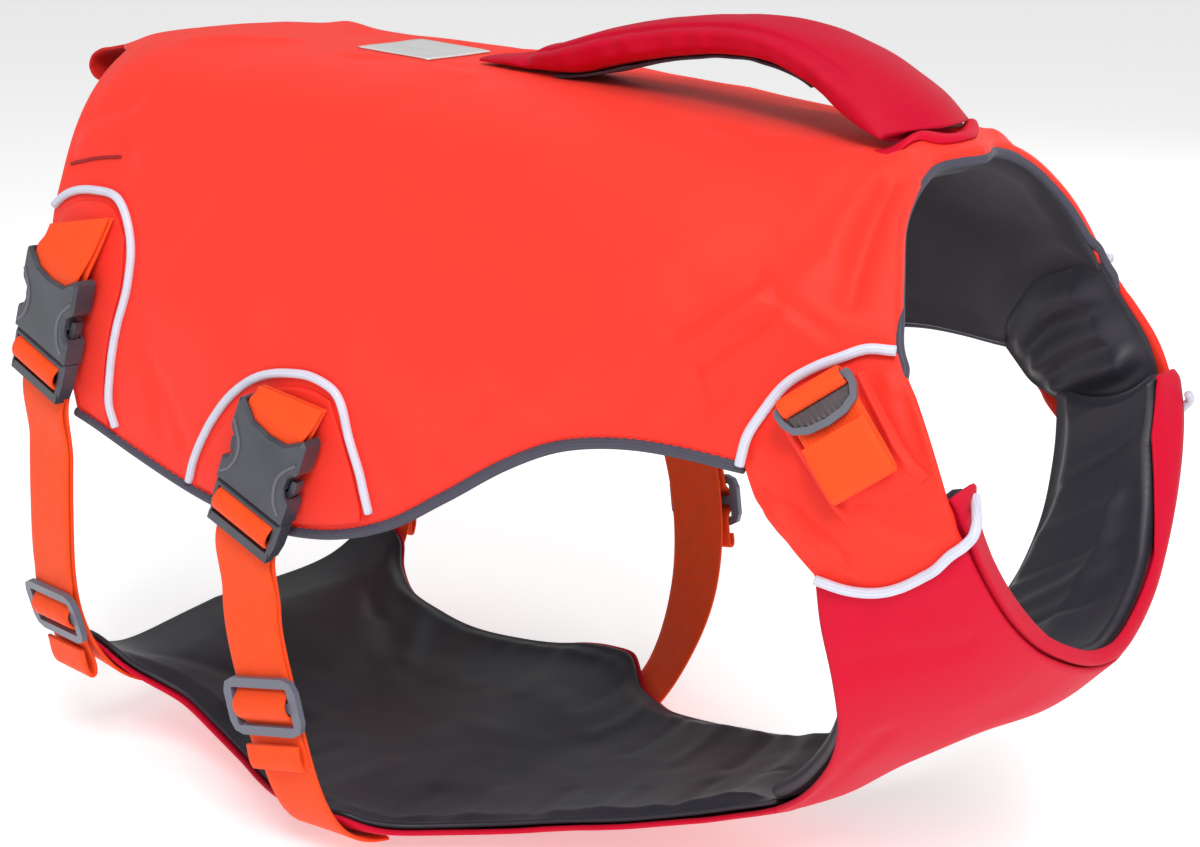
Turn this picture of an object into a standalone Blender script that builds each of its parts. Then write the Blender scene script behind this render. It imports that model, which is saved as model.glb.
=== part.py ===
"""Dog life jacket, size medium, filled out as it is worn.

The jacket is a foam-padded saddle over the back, two shoulder straps that run
into a U-shaped chest piece, and a belly panel that hangs from four webbing
straps with side-release buckles.  Every cloth piece lies on one form, the
outside of the worn jacket, which is a row of rounded sections along the back.

Places on the form are given as on the cloth itself:
  x      distance along the back, towards the nose, from the handle's rear end
  drop   distance down over the cloth from the line of the spine
  reach  distance up over the cloth from the keel, the line under the belly
  out    distance outwards from the form
The frame has +X towards the nose, +Y to the dog's left and +Z up.  Its origin
is the inside of the back, on the spine.  Tables are in millimetres.
"""
import math

import bmesh
import bpy
import numpy as np
from mathutils import Matrix, Vector
from mathutils.bvhtree import BVHTree

MM = 0.001                # one millimetre in metres
SEAM = 0.45               # gap between two pieces that are sewn edge to edge
LAY = 0.55                # gap between a piece and the panel that it lies on
RIGHT, LEFT = -1, 1
SIDES = ((RIGHT, "R"), (LEFT, "L"))

# ---------------------------------------------------------------- sizes (mm)
BACK_FOAM = 7.0           # padded back panel, cloth and foam
BACK_EDGE = 2.6           # the same panel at its bound edge
BACK_LINING = 2.0
SHELL = 2.0               # crimson cloth of the chest and belly
SHOULDER_CLOTH = 2.2
SHOULDER_LINING = 4.0
BELLY_FOAM = 5.0
CHEST_FOAM = 12.5
FACING_CLOTH = 1.0
PAD_ABOVE_SEAM = 15.0     # how far the chest pad goes up behind the shoulder
ARCH_CLOTH = 1.2          # reinforcement under each buckle
LABEL = 0.8
WEB_WIDTH = 25.0
WEB = 1.4                 # thickness of the webbing
PIPING = 1.7              # radius
BINDING = 2.1             # radius of the bound hem
NECK_BINDING = 1.6
FOAM_ROLL = 13.0          # the foam thins out over this width along its edge

# The form, a row for each section.  Heights are from the inside of the back.
# x, top of the back, keel, half width, height of the widest place,
# and how square the section is above and below it (2 is an ellipse).
SECTIONS = np.array([
    # x    top  keel  half  widest  upper lower
    (-180,   3, -224,  82,  -100,   2.6,  5.0),
    (-150,  12, -228,  91,  -102,   2.8,  5.0),
    (-120,  16, -231,  96,  -104,   3.0,  5.0),
    (-60,   14, -253, 100,  -106,   3.3,  5.0),
    (0,     10, -256, 100,  -108,   3.5,  8.0),
    (30,     8, -259,  99,  -108,   3.5,  4.5),
    (60,     6, -255,  98,  -108,   3.5,  3.2),
    (100,    2, -244,  97,  -106,   3.5,  2.8),
    (130,   -1, -234,  95,  -104,   3.2,  2.5),
    (160,   -3, -221,  92,  -102,   2.8,  2.3),
    (190,   -3, -198,  90,  -100,   2.3,  2.1),
    (210,   -5, -185, 86.5,  -95,   2.0,  1.9),
    (228,   -7, -174,  85,   -86,   2.0,  1.75),
    (242,   -9, -160,  83,   -74,   1.9,  1.7),
    (255,  -10, -145,  81,   -68,   1.9,  1.7)], float)

# Outlines of the upper pieces: x, drop
SPINE_LINE = [(-160, 0), (194, 0)]
REAR_EDGE = [(-160, 0), (-152, 25), (-131, 45), (-124, 66), (-121, 85), (-120, 106),
             (-122, 125), (-119, 150), (-113, 180), (-110, 193)]
HEM = [(-110, 193), (-74, 205), (-39, 214), (-10, 216.5), (10, 213.5), (37, 203), (61, 187),
       (85, 170), (107, 157), (124, 150), (147, 144), (166, 141)]
SHOULDER_SEAM = [(166, 141), (168, 132), (172, 124), (178, 114), (185, 107), (191, 102),
                 (198, 96), (205, 93)]
NECK_EDGE = [(192.5, 0), (191.2, 6), (189, 12), (187, 20), (188, 31), (190, 43), (193, 56), (198, 70),
             (202, 83), (205, 93)]
SHOULDER_FRONT = [(205, 93), (212, 104), (220, 118), (230, 141)]
BOUND_FRONT = [(205, 93), (208, 97.7), (211, 102.4)]    # as far down as it is bound
SHOULDER_REAR = [(166, 141), (170, 148), (175, 153), (182, 159), (190, 165)]
CHEST_SEAM = [(190, 165), (197, 164), (204, 161.5), (213, 156.5), (222, 150), (230, 141)]
PIPING_END = [(231.4, 140.5), (234.6, 140), (236.4, 139), (236.2, 138), (234.6, 136)]
PIPING_TURN = [2.0, 1.2, -2.0, -8.0, -14.0]     # heights as the piping goes over the front

# Outlines of the lower pieces: x, reach
BELLY_SEAM_X = 150
LEG_EDGE = [(150, 39), (165, 47), (178, 59), (187, 75), (191, 96), (190.5, 122), (190, 138)]
CHEST_FRONT = [(245, 0), (244, 20), (242.5, 38), (240, 56), (237.5, 74), (234, 98), (230, 118)]
PAD_FRONT = CHEST_FRONT[:-1] + [(230.6, 116), (229, 122)]   # up to the pad's top corner
FACING_FRONT = CHEST_FRONT[:-1] + [(230.6, 117), (229.2, 123), (226.5, 129)]
FACING_DEEP = ([0, 50, 72, 98], [4.8, 5.4, 10.0, 15.5])     # reach, how far it goes inwards
BELLY_REAR = [(-149, 0), (-146, 30), (-141, 60), (-137, 80), (-134, 90)]
BELLY_SIDE = [(-134, 90), (-125, 92), (-116, 89), (-108, 77), (-98, 70), (-80, 71), (-60, 76),
              (-45, 82), (-30, 88), (-18, 93), (-5, 95), (6, 94), (14, 86), (22, 77), (32, 70),
              (45, 62), (60, 56), (75, 51), (90, 47), (105, 42), (120, 38), (135, 36), (150, 39)]

# Reinforcements under the buckles: x, drop, along the back, the top and the front
ARCHES = {
    "rear": {"back": [(-106, 190), (-113, 160), (-117, 126)],
             "top": [(-117, 126), (-110, 120), (-98, 118), (-86, 119.5), (-78, 129)],
             "front": [(-78, 129), (-79, 144), (-85, 160), (-91, 182), (-91, 196)],
             "piping": [(-120, 118.5), (-116, 116.5), (-108, 114.5), (-96, 114), (-83, 116),
                        (-74.5, 128), (-75, 144), (-81, 160), (-86, 176), (-88, 190),
                        (-86.5, 197)]},
    "mid": {"back": [(-45, 208), (-39, 197), (-30, 186), (-20, 177)],
            "top": [(-20, 177), (-9, 170), (1, 166.5), (11, 165.5), (18, 167)],
            "front": [(18, 167), (22.5, 180), (26, 191), (28, 200)],
            "piping": [(-49.5, 210), (-43, 197), (-34, 184), (-24, 173.5), (-12, 165.5),
                       (1, 161.5), (12, 160.5), (20.5, 163), (26, 178), (30, 190), (32, 201)]}}

# Soft hollows and ridges in the back panel, the same on both sides
FOLDS = [
    # x0   drop0   x1   drop1  height  half width
    (-114, 104,   -86,  102,   -2.4,   6.0),
    (-112,  94,   -88,   90,    1.6,   7.0),
    (150,  112,   172,   92,    1.6,   8.0),
    (172,   92,   194,   92,    1.2,   7.0),
    (146,   98,   164,   80,   -1.4,   8.0),
    (184,   40,   190,   84,   -1.6,   8.0),
    (170,   36,   174,   84,    1.6,   9.0),
    (-40,  120,    20,  110,   -1.5,  18.0),
    (60,   150,   120,  120,    1.6,  16.0),
    (-100,  60,   -40,   90,    1.5,  16.0),
    (20,    40,    40,  150,    1.2,  20.0)]

# Webbing from each buckle to the belly.  Buckle top and bottom, slider, then the
# line down to the belly and under it, all as x, drop; tail is the folded end.
# The loop is sewn to the arch so far above the buckle, along a seam in the seam direction.
STRAPS = {
    ("rear", RIGHT): {"sewn": 14, "seam": (1, -0.15),
                      "top": (-101.5, 138), "bottom": (-119.5, 184.4), "slider": (-130, 270),
                      "line": [(-126, 228), (-130, 270), (-127, 294), (-124, 320)], "tail": 13,
                      "slack": 0},
    ("rear", LEFT): {"sewn": 14, "seam": (1, -0.15),
                     "top": (-101.5, 138), "bottom": (-118.5, 184.6), "slider": (-129, 266),
                     "line": [(-125, 228), (-129, 266), (-127, 294), (-124, 320)], "tail": 13,
                     "slack": 0},
    ("mid", RIGHT): {"sewn": 6.5, "seam": (1, 0.1),
                     "top": (3, 174), "bottom": (-17, 220), "slider": (-13, 281),
                     "line": [(-19, 252), (-13, 281), (-4, 325), (0, 350)], "tail": 10,
                     "slack": 0},
    ("mid", LEFT): {"sewn": 6.5, "seam": (1, -0.12),
                    "top": (2, 174.5), "bottom": (20, 221.5), "slider": (29.5, 252),
                    "line": [(26, 236), (29.5, 252), (31, 282), (24, 320), (16, 350)], "tail": 6,
                    "slack": 2.0}}

# Handle: x of its corners, how far its middle bows forward, top, underside, half width
HANDLE = np.array([
    (9,    0, 12.4, 10.4, 10),
    (20,   0, 13.4,  9.6, 11),
    (29,   0, 14.2,  8.9, 12),
    (34,   0, 17.0,  8.8, 13),
    (42,   0, 19.0,  8.6, 14.5),
    (52,   0, 21.8,  9.2, 15.8),
    (63,   0, 24.8, 11.4, 16.6),
    (78,   0, 27.5, 14.8, 17.3),
    (94,   0, 29.5, 17.3, 17.6),
    (109,  1, 30.2, 18.6, 18),
    (123,  2, 29.4, 17.6, 18.7),
    (136,  4, 26.6, 13.6, 20),
    (147,  6, 22.2,  7.2, 22),
    (157,  8, 16.4,  1.0, 24.5),
    (166, 10.5, 9.0, -1.8, 26.6),
    (172, 12,  1.8, -2.2, 27)], float)
HANDLE_TAPE = (46, 136, 11)          # x from, x to, half width
HANDLE_SEAM = 3.4                    # crimson strip in front of the handle
RUMP_LOOP = [(-160.15, 7.5), (-167, 6.6), (-175, 5.2), (-182.5, 3.8), (-187.2, 1.0),
             (-188.6, -2.8), (-186.6, -6.2), (-182, -7.4), (-177, -5.4), (-171, -0.6),
             (-165.5, 3.2), (-160.0, 5.2)]             # x, height on the spine
LABEL_PLACE = (-40, -8, 17)         # x from, x to, half width

# Shoulder adjuster for 20 mm webbing: its top middle and a place below that, its rim,
# hole and cross plate as half outlines across and down, and the folded tab as down, up
ADJUSTER = {"top": (185.9, 111.6), "bottom": (205.7, 130.7)}
CHANNEL = ([-15.4, -13.4, -11.2, -4, 4, 11.2, 13.4, 15.4], 13.4, 31)   # across, welt, length
LOCK_RIM = [(0, 0.9), (11.7, 0.9), (12.4, 2.6), (12.0, 6.0), (10.2, 9.4), (6, 11.4), (0, 12.0)]
LOCK_HOLE = [(0, 2.9), (10.4, 2.9), (10.5, 4.8), (9.3, 7.6), (5.3, 9.4), (0, 9.9)]
LOCK_PLATE = [(0, 5.4), (10.8, 5.4), (9.7, 7.8), (5.5, 9.7), (0, 10.3)]
TAB_FOLD = [(7.9, 0.9), (18, 0.9), (27.4, 1.0), (30, 1.8), (30.8, 3.4), (29.8, 5.0), (27.4, 5.4),
            (14.2, 5.2)]

# Side-release buckle for 25 mm webbing, half outlines: across, down
BUCKLE_THICK = 9.0
SOCKET = [(0, 6.5), (7.5, 5.5), (11, 2.5), (13.6, 0.4), (15.4, 1.6), (15.5, 11.5), (14.9, 13.4),
          (12, 16), (11.8, 20), (12.8, 22.5), (15.3, 24.5), (15.3, 33), (0, 33)]
SOCKET_POCKET = (-2.0, 13.0, 1.75, 7.45, 12.95)   # down from, to, up from, to, half width
SOCKET_BAR = (7.6, 9.8, 3.95, 5.25)
SOCKET_MOUTH = (20.6, 34.0, 1.9, 7.1, 14.0)
TONGUE_LOW, TONGUE_HIGH = 0.9, 8.1
TONGUE = [(0, 33.5), (14.9, 33.5), (15.3, 35), (15, 43), (13.9, 48.3), (8, 50), (0, 50.3)]
TONGUE_WINDOW = (35.4, 13.0)                      # down from, half width
TONGUE_BARS = ((38.2, 41.2, 3.1, 6.0), (46.2, 49.6, 4.1, 7.9))
TONGUE_PRONG = [(8.8, 34.4), (12.4, 34.4), (13.2, 24.5), (15.0, 20.8), (15.2, 17.6),
                (14.6, 16.6), (12.9, 17.0), (12.6, 21), (10.6, 25)]
# Webbing round the bars of the socket and of the tongue: down, up
SOCKET_FOLD = [(1, 2.8), (4, 2.8), (7, 2.8), (9.4, 2.8), (10.7, 3.2), (11.35, 4.6), (10.7, 6.0),
               (9.4, 6.4), (7, 6.4), (4, 6.4), (1, 6.4)]
TONGUE_FOLD = [(52, 0.9), (42, 1.0), (38.3, 1.4), (36.6, 2.8), (36.5, 5.0), (37.3, 6.9),
               (39.2, 7.6), (41.9, 7.0), (44, 4.6), (45.4, 3.2), (48, 2.85), (54, 2.85)]

SLIDER = {"half_width": 17.2, "half_length": 10.4, "bar": 3.4, "low": 4.5, "high": 6.8}
INNER_OUT, OUTER_OUT = 1.7, 3.45     # middle of the webbing, two layers, over the form


# ---------------------------------------------------------------- materials
def paint(name, colour, roughness, metallic=0.0):
    material = bpy.data.materials.new(name)
    material.use_nodes = True
    shader = material.node_tree.nodes["Principled BSDF"]
    shader.inputs["Base Color"].default_value = (*colour, 1.0)
    shader.inputs["Roughness"].default_value = roughness
    shader.inputs["Metallic"].default_value = metallic
    material.diffuse_color = (*colour, 1.0)
    return material


SHELL_RED = paint("shell_red", (1.0, 0.05, 0.04), 0.6)
CRIMSON = paint("crimson", (0.68, 0.003, 0.035), 0.6)
WEB_ORANGE = paint("webbing_orange", (1.0, 0.10, 0.03), 0.7)
LINING_GREY = paint("lining_grey", (0.033, 0.03, 0.045), 0.5)
BINDING_GREY = paint("binding_grey", (0.09, 0.09, 0.13), 0.6)
BUCKLE_GREY = paint("buckle_grey", (0.07, 0.075, 0.095), 0.45)
SLIDER_GREY = paint("slider_grey", (0.19, 0.20, 0.28), 0.4, 0.3)
REFLECTIVE = paint("piping_white", (0.76, 0.78, 0.87), 0.4)
LABEL_PALE = paint("label_pale", (0.75, 0.74, 0.70), 0.7)

for old in list(bpy.data.objects):
    bpy.data.objects.remove(old, do_unlink=True)
jacket = bpy.data.collections.new("dog_life_jacket")
bpy.context.scene.collection.children.link(jacket)


# ---------------------------------------------------------------- the form
def smooth_row(stations, values, x):
    """A smooth curve through (stations, values), read at x."""
    x = np.clip(x, stations[0], stations[-1])
    i = np.clip(np.searchsorted(stations, x, side="right") - 1, 0, len(stations) - 2)
    slope = np.gradient(values, stations)
    step = stations[i + 1] - stations[i]
    t = (x - stations[i]) / step
    return ((1 + 2 * t) * (1 - t) ** 2 * values[i] + t * (1 - t) ** 2 * step * slope[i]
            + t * t * (3 - 2 * t) * values[i + 1] + t * t * (t - 1) * step * slope[i + 1])


TURN = np.linspace(0, np.pi, 241)     # round half a section, from spine to keel


def half_rings(x):
    """y, z and the distance down from the spine, round the section at each x."""
    top, keel, half, widest, upper, lower = (
        smooth_row(SECTIONS[:, 0], SECTIONS[:, k], x)[:, None] for k in range(1, 7))
    across, up = np.sin(TURN)[None], np.cos(TURN)[None]
    power = np.where(up >= 0, upper, lower)
    size = (np.abs(across) ** power + np.abs(up) ** power) ** (-1 / power)
    y = half * size * across
    z = widest + np.where(up >= 0, top - widest, widest - keel) * size * up
    steps = np.hypot(np.diff(y, axis=1), np.diff(z, axis=1))
    return y, z, np.concatenate([np.zeros((len(x), 1)), np.cumsum(steps, axis=1)], axis=1)


def half_girth(x):
    return half_rings(np.atleast_1d(np.asarray(x, float)))[2][:, -1]


def form_point(x, drop):
    """Points of the form, in mm; drop is positive on the left."""
    x, drop = np.broadcast_arrays(np.asarray(x, float), np.asarray(drop, float))
    shape = x.shape
    x, drop = x.reshape(-1), drop.reshape(-1)
    y, z, down = half_rings(x)
    way = np.abs(drop)
    i = np.clip((down < way[:, None]).sum(axis=1), 1, len(TURN) - 1)
    k = np.arange(len(way))
    t = (way - down[k, i - 1]) / (down[k, i] - down[k, i - 1])
    py = y[k, i - 1] + t * (y[k, i] - y[k, i - 1])
    pz = z[k, i - 1] + t * (z[k, i] - z[k, i - 1])
    return np.stack([x, np.where(drop < 0, -py, py), pz], axis=-1).reshape(shape + (3,))


def unit(v):
    return v / np.linalg.norm(v, axis=-1, keepdims=True)


def form_normal(x, drop):
    """The direction out of the form."""
    h = 1.5
    along_x = form_point(x + h, drop) - form_point(x - h, drop)
    down = form_point(x, drop + h) - form_point(x, drop - h)
    return unit(np.cross(along_x, down))


def place(x, drop, out=0.0):
    return form_point(x, drop) + form_normal(x, drop) * np.asarray(out, float)[..., None]


def ease(t):
    t = np.clip(t, 0, 1)
    return t * t * (3 - 2 * t)


# ---------------------------------------------------------------- outlines
def along(points, count):
    """count + 1 places along a smooth line through the points."""
    return at_shares(points, np.linspace(0, 1, count + 1))


def at_shares(points, shares):
    points = np.array(points, float)
    length = np.concatenate([[0], np.cumsum(np.linalg.norm(np.diff(points, axis=0), axis=1))])
    t = np.asarray(shares) * length[-1]
    if len(points) < 3:
        columns = [np.interp(t, length, column) for column in points.T]
    else:
        columns = [smooth_row(length, column, t) for column in points.T]
    return np.stack(columns, axis=-1)


def patch(first, last, start, end, u=None, v=None):
    """A grid between four lines: first and last run along it, start and end across it."""
    u = (np.linspace(0, 1, len(first)) if u is None else np.asarray(u))[:, None, None]
    v = (np.linspace(0, 1, len(start)) if v is None else np.asarray(v))[None, :, None]
    corners = ((1 - u) * (1 - v) * first[0] + u * (1 - v) * first[-1]
               + (1 - u) * v * last[0] + u * v * last[-1])
    return ((1 - v) * first[:, None] + v * last[:, None]
            + (1 - u) * start[None] + u * end[None] - corners)


def moved_out(line, distance, count=60):
    """A line moved sideways, to the side of growing drop when it runs to growing x."""
    places = along(line, count)
    run = unit(np.gradient(places, axis=0))
    return places + np.stack([-run[:, 1], run[:, 0]], axis=-1) * distance


def edge_distance(x, drop, lines):
    """How far each place is from the nearest of some outlines."""
    marks = np.concatenate([along(line, 80) for line in lines])
    gaps = np.stack([x, np.abs(drop)], axis=-1).reshape(-1, 1, 2) - marks[None]
    return np.hypot(gaps[..., 0], gaps[..., 1]).min(axis=1).reshape(x.shape)


def both_sides(half):
    """A half grid from the middle line outwards, doubled to run from right to left."""
    right = half[:, :0:-1].copy()
    right[..., 1] *= -1
    return np.concatenate([right, half], axis=1)


def to_drop(places):
    """Places given by x and reach, as x and drop."""
    result = np.array(places, float)
    girth = half_girth(result[..., 0].reshape(-1)).reshape(result.shape[:-1])
    left = result[..., 1] >= 0
    result[..., 1] = np.where(left, girth - result[..., 1], -girth - result[..., 1])
    return result


def fold_height(x, drop):
    """Height of the soft folds: each is a ridge with rounded ends."""
    total = np.zeros(np.shape(x))
    for x0, d0, x1, d1, height, width in FOLDS:
        run = np.array([x1 - x0, d1 - d0], float)
        t = np.clip(((x - x0) * run[0] + (np.abs(drop) - d0) * run[1]) / (run @ run), 0, 1)
        away = np.hypot(x - x0 - t * run[0], np.abs(drop) - d0 - t * run[1])
        total += height * np.exp(-(away / width) ** 2)
    return total


# ---------------------------------------------------------------- solids
def add_object(name, data, material):
    obj = bpy.data.objects.new(name, data)
    data.materials.append(material)
    jacket.objects.link(obj)
    return obj


def cloth(name, points, outward, depth, material):
    """A wall of cloth: its outside on a grid of points, its inside depth behind them."""
    rows, columns = points.shape[:2]
    index = np.arange(rows * columns).reshape(rows, columns)
    quads = np.stack([index[:-1, :-1], index[1:, :-1], index[1:, 1:], index[:-1, 1:]], axis=-1)
    facing = np.cross(points[1, 0] - points[0, 0], points[0, 1] - points[0, 0])
    if facing @ outward[0, 0] < 0:
        quads = quads[..., ::-1]
    mesh = bpy.data.meshes.new(name)
    mesh.from_pydata((points.reshape(-1, 3) * MM).tolist(), [], quads.reshape(-1, 4).tolist())
    mesh.shade_smooth()
    obj = add_object(name, mesh, material)
    depth = np.broadcast_to(np.asarray(depth, float), points.shape[:2]).reshape(-1)
    group = obj.vertex_groups.new(name="depth")
    for i, value in enumerate(depth):
        group.add([i], float(value / depth.max()), 'REPLACE')
    wall = obj.modifiers.new("wall", 'SOLIDIFY')
    wall.thickness = float(depth.max()) * MM
    wall.offset = -1
    wall.vertex_group = "depth"
    return obj


def surface(*objects):
    """The surface of finished objects, to lay other pieces on."""
    bpy.context.view_layer.update()
    graph = bpy.context.evaluated_depsgraph_get()
    verts, faces = [], []
    for obj in objects:
        mesh = obj.evaluated_get(graph).to_mesh()
        faces += [[len(verts) + i for i in f.vertices] for f in mesh.polygons]
        verts += [v.co.copy() for v in mesh.vertices]
    return BVHTree.FromPolygons(verts, faces)


def height_over(tree, point, outward):
    """How far a point is outside the surface, measured along outward."""
    start = Vector((point + outward * 25.0) * MM)
    hit = tree.ray_cast(start, Vector(-outward), 45 * MM)[0]
    return None if hit is None else float((point - np.array(hit) / MM) @ outward)


def lay_on(tree, points, outward, gap, from_inside=False):
    """Points moved along outward to lie gap off the surface, outside or inside of it."""
    way = -1 if from_inside else 1
    result, normal = points.copy(), outward * way
    for i in np.ndindex(points.shape[:-1]):
        high = height_over(tree, points[i], normal[i])
        if high is not None:
            result[i] = points[i] + normal[i] * (gap - high)
    shape = points.shape
    grid, facing = (a.reshape(shape[0], -1, 3) for a in (result, normal))
    lift = np.zeros(grid.shape[:2])
    for di, dj in ((1, 1), (1, 0), (0, 1)):      # facets and edges must clear it as well
        for i in range(grid.shape[0] - di):
            for j in range(grid.shape[1] - dj):
                cell = (slice(i, i + di + 1), slice(j, j + dj + 1))
                middle = grid[cell].mean(axis=(0, 1))
                high = height_over(tree, middle, unit(facing[cell].mean(axis=(0, 1))))
                if high is not None:
                    lift[cell] = np.maximum(lift[cell], gap - 0.15 - high)
    return (grid + facing * lift[..., None]).reshape(shape)


def piece_on(tree, name, grid, side, thick, material, above=0.0):
    """A thin piece of cloth that lies on a panel."""
    x, drop = grid[..., 0], grid[..., 1] * side
    outward = form_normal(x, drop)
    points = lay_on(tree, place(x, drop), outward, LAY + thick)
    points = points + outward * np.broadcast_to(above, x.shape)[..., None]
    return cloth(name, points, outward, thick, material)


def cord(name, points, radius, material):
    """A round bead of cloth along points."""
    curve = bpy.data.curves.new(name, 'CURVE')
    curve.dimensions = '3D'
    curve.bevel_depth = radius * MM
    curve.bevel_resolution = 1
    curve.use_fill_caps = True
    spline = curve.splines.new('POLY')
    spline.points.add(len(points) - 1)
    for knot, point in zip(spline.points, points):
        knot.co = (*(point * MM), 1.0)
    return add_object(name, curve, material)


def solid_mesh(name, verts, faces, material=None):
    """A closed mesh with its faces turned outwards; verts in mm."""
    bm = bmesh.new()
    knots = [bm.verts.new(Vector(v) * MM) for v in np.asarray(verts, float)]
    for face in faces:
        bm.faces.new([knots[i] for i in face])
    bmesh.ops.recalc_face_normals(bm, faces=bm.faces)
    mesh = bpy.data.meshes.new(name)
    bm.to_mesh(mesh)
    bm.free()
    mesh.shade_smooth()
    mesh.set_sharp_from_angle(angle=math.radians(35))
    return add_object(name, mesh, material) if material else mesh


def tube_faces(count, around):
    """Faces of a closed tube through rings of points, with ends closed in strips."""
    faces = []
    for k in range(count - 1):
        for i in range(around):
            j = (i + 1) % around
            faces.append([k * around + i, k * around + j, (k + 1) * around + j,
                          (k + 1) * around + i])
    half = around // 2
    for base in (0, (count - 1) * around):
        if around == 4:
            faces.append([base, base + 1, base + 2, base + 3])
            continue
        faces.append([base, base + 1, base + around - 1])
        faces += [[base + i, base + i + 1, base + around - i - 1, base + around - i]
                  for i in range(1, half - 1)]
        faces.append([base + half - 1, base + half, base + half + 1])
    return faces


def thinned(points, tolerance=0.25):
    """The indices of the points that a line needs to keep its shape."""
    keep = {0, len(points) - 1}
    spans = [(0, len(points) - 1)]
    while spans:
        a, b = spans.pop()
        if b - a < 2:
            continue
        run = unit(points[b] - points[a]) if a != b else points[a] * 0
        rest = points[a + 1:b] - points[a]
        miss = np.linalg.norm(rest - (rest @ run)[:, None] * run, axis=1)
        k = int(miss.argmax()) + a + 1
        if miss.max() > tolerance or np.linalg.norm(points[b] - points[a]) > 30:
            keep.add(k)
            spans += [(a, k), (k, b)]
    return sorted(keep)


def webbing(name, points, width_way, material, edge=None, slant_run=1.0, width=WEB_WIDTH,
            thick=WEB):
    """Flat webbing along points.  Both ends are cut along edge, if it is given."""
    width_way = np.broadcast_to(width_way, points.shape)
    kept = thinned(np.concatenate([points, points + width_way * width / 2], axis=1))
    tangent = unit(np.gradient(points, axis=0))[kept]
    points, width_way = points[kept], width_way[kept]
    side = unit(width_way - (width_way * tangent).sum(-1, keepdims=True) * tangent)
    face = unit(np.cross(tangent, side))
    reach = side.copy()
    walked = np.concatenate([[0], np.cumsum(np.linalg.norm(np.diff(points, axis=0), axis=1))])
    if edge is not None:
        for k, gone in ((0, walked), (-1, walked[-1] - walked)):
            flat = edge - (edge @ face[k]) * face[k]
            slant = flat / (flat @ side[k]) - side[k]
            reach += slant * np.clip(1 - gone / slant_run, 0, 1)[:, None]
    corners = [points + reach * w * width / 2 + face * t * thick / 2
               for w, t in ((1, 1), (-1, 1), (-1, -1), (1, -1))]
    rings = np.stack(corners, axis=1)
    return solid_mesh(name, rings.reshape(-1, 3), tube_faces(len(points), 4), material)


# ---------------------------------------------------------------- hard parts
def plate(outlines, low, high, bevel=0.0):
    """A flat plate; the first outline is its rim and the others are holes."""
    curve = bpy.data.curves.new("plate", 'CURVE')
    curve.dimensions = '2D'
    curve.fill_mode = 'BOTH'
    curve.extrude = (high - low) / 2 * MM
    for outline in outlines:
        spline = curve.splines.new('POLY')
        spline.points.add(len(outline) - 1)
        spline.use_cyclic_u = True
        for knot, (w, l) in zip(spline.points, outline):
            knot.co = (w * MM, l * MM, 0.0, 1.0)
    loose = bpy.data.objects.new("plate", curve)
    mesh = settled(loose)
    bm = bmesh.new()
    bm.from_mesh(mesh)
    bmesh.ops.remove_doubles(bm, verts=bm.verts, dist=1e-6)
    bmesh.ops.translate(bm, verts=bm.verts, vec=(0, 0, (low + high) / 2 * MM))
    bmesh.ops.dissolve_limit(bm, angle_limit=math.radians(1), verts=bm.verts, edges=bm.edges)
    bmesh.ops.recalc_face_normals(bm, faces=bm.faces)
    if bevel:
        rims = [e for e in bm.edges if e.calc_face_angle(0) > math.radians(60)
                and abs(e.verts[0].co.z - e.verts[1].co.z) < 1e-7]
        bmesh.ops.bevel(bm, geom=rims, offset=bevel * MM, segments=1, profile=0.5,
                        affect='EDGES')
    bm.to_mesh(mesh)
    bm.free()
    return mesh


def settled(loose):
    """The mesh of an object with its modifiers and bevels worked in."""
    jacket.objects.link(loose)
    bpy.context.view_layer.update()
    mesh = bpy.data.meshes.new_from_object(
        loose.evaluated_get(bpy.context.evaluated_depsgraph_get()))
    bpy.data.objects.remove(loose, do_unlink=True)
    return mesh


def combined(base, other, operation):
    """Two meshes joined, or the second cut from the first."""
    target = bpy.data.objects.new("target", base)
    tool = bpy.data.objects.new("tool", other)
    jacket.objects.link(tool)
    step = target.modifiers.new("step", 'BOOLEAN')
    step.operation = operation
    step.object = tool
    step.solver = 'EXACT'
    mesh = settled(target)
    bpy.data.objects.remove(tool, do_unlink=True)
    return mesh


def block(w0, w1, l0, l1, o0, o1):
    corners = [(w, l, o) for w in (w0, w1) for l in (l0, l1) for o in (o0, o1)]
    faces = [(0, 1, 3, 2), (4, 5, 7, 6), (0, 1, 5, 4), (2, 3, 7, 6), (0, 2, 6, 4), (1, 3, 7, 5)]
    return solid_mesh("block", corners, faces)


def mirrored(half):
    """A closed outline from its half of positive width, listed from top to bottom."""
    return half + [(-w, l) for w, l in reversed(half) if w > 0]


def rounded_box(half_w, top, bottom, radius, steps=2):
    """Outline of a rectangle with round corners."""
    outline = []
    for cw, cl, start in ((half_w - radius, bottom - radius, 0),
                          (radius - half_w, bottom - radius, 90),
                          (radius - half_w, top + radius, 180),
                          (half_w - radius, top + radius, 270)):
        for k in range(steps + 1):
            a = math.radians(start + 90 * k / steps)
            outline.append((cw + radius * math.cos(a), cl + radius * math.sin(a)))
    return outline


def make_socket():
    """Buckle socket: a shell with a pocket and bar for its webbing, and a mouth."""
    shell = plate([mirrored(SOCKET)], 0, BUCKLE_THICK, bevel=1.0)
    l0, l1, o0, o1, half = SOCKET_POCKET
    pocket = combined(block(-half, half, l0, l1, o0, o1), block(-14, 14, *SOCKET_BAR), 'DIFFERENCE')
    l0, l1, o0, o1, half = SOCKET_MOUTH
    shell = combined(shell, pocket, 'DIFFERENCE')
    return combined(shell, block(-half, half, l0, l1, o0, o1), 'DIFFERENCE')


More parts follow.
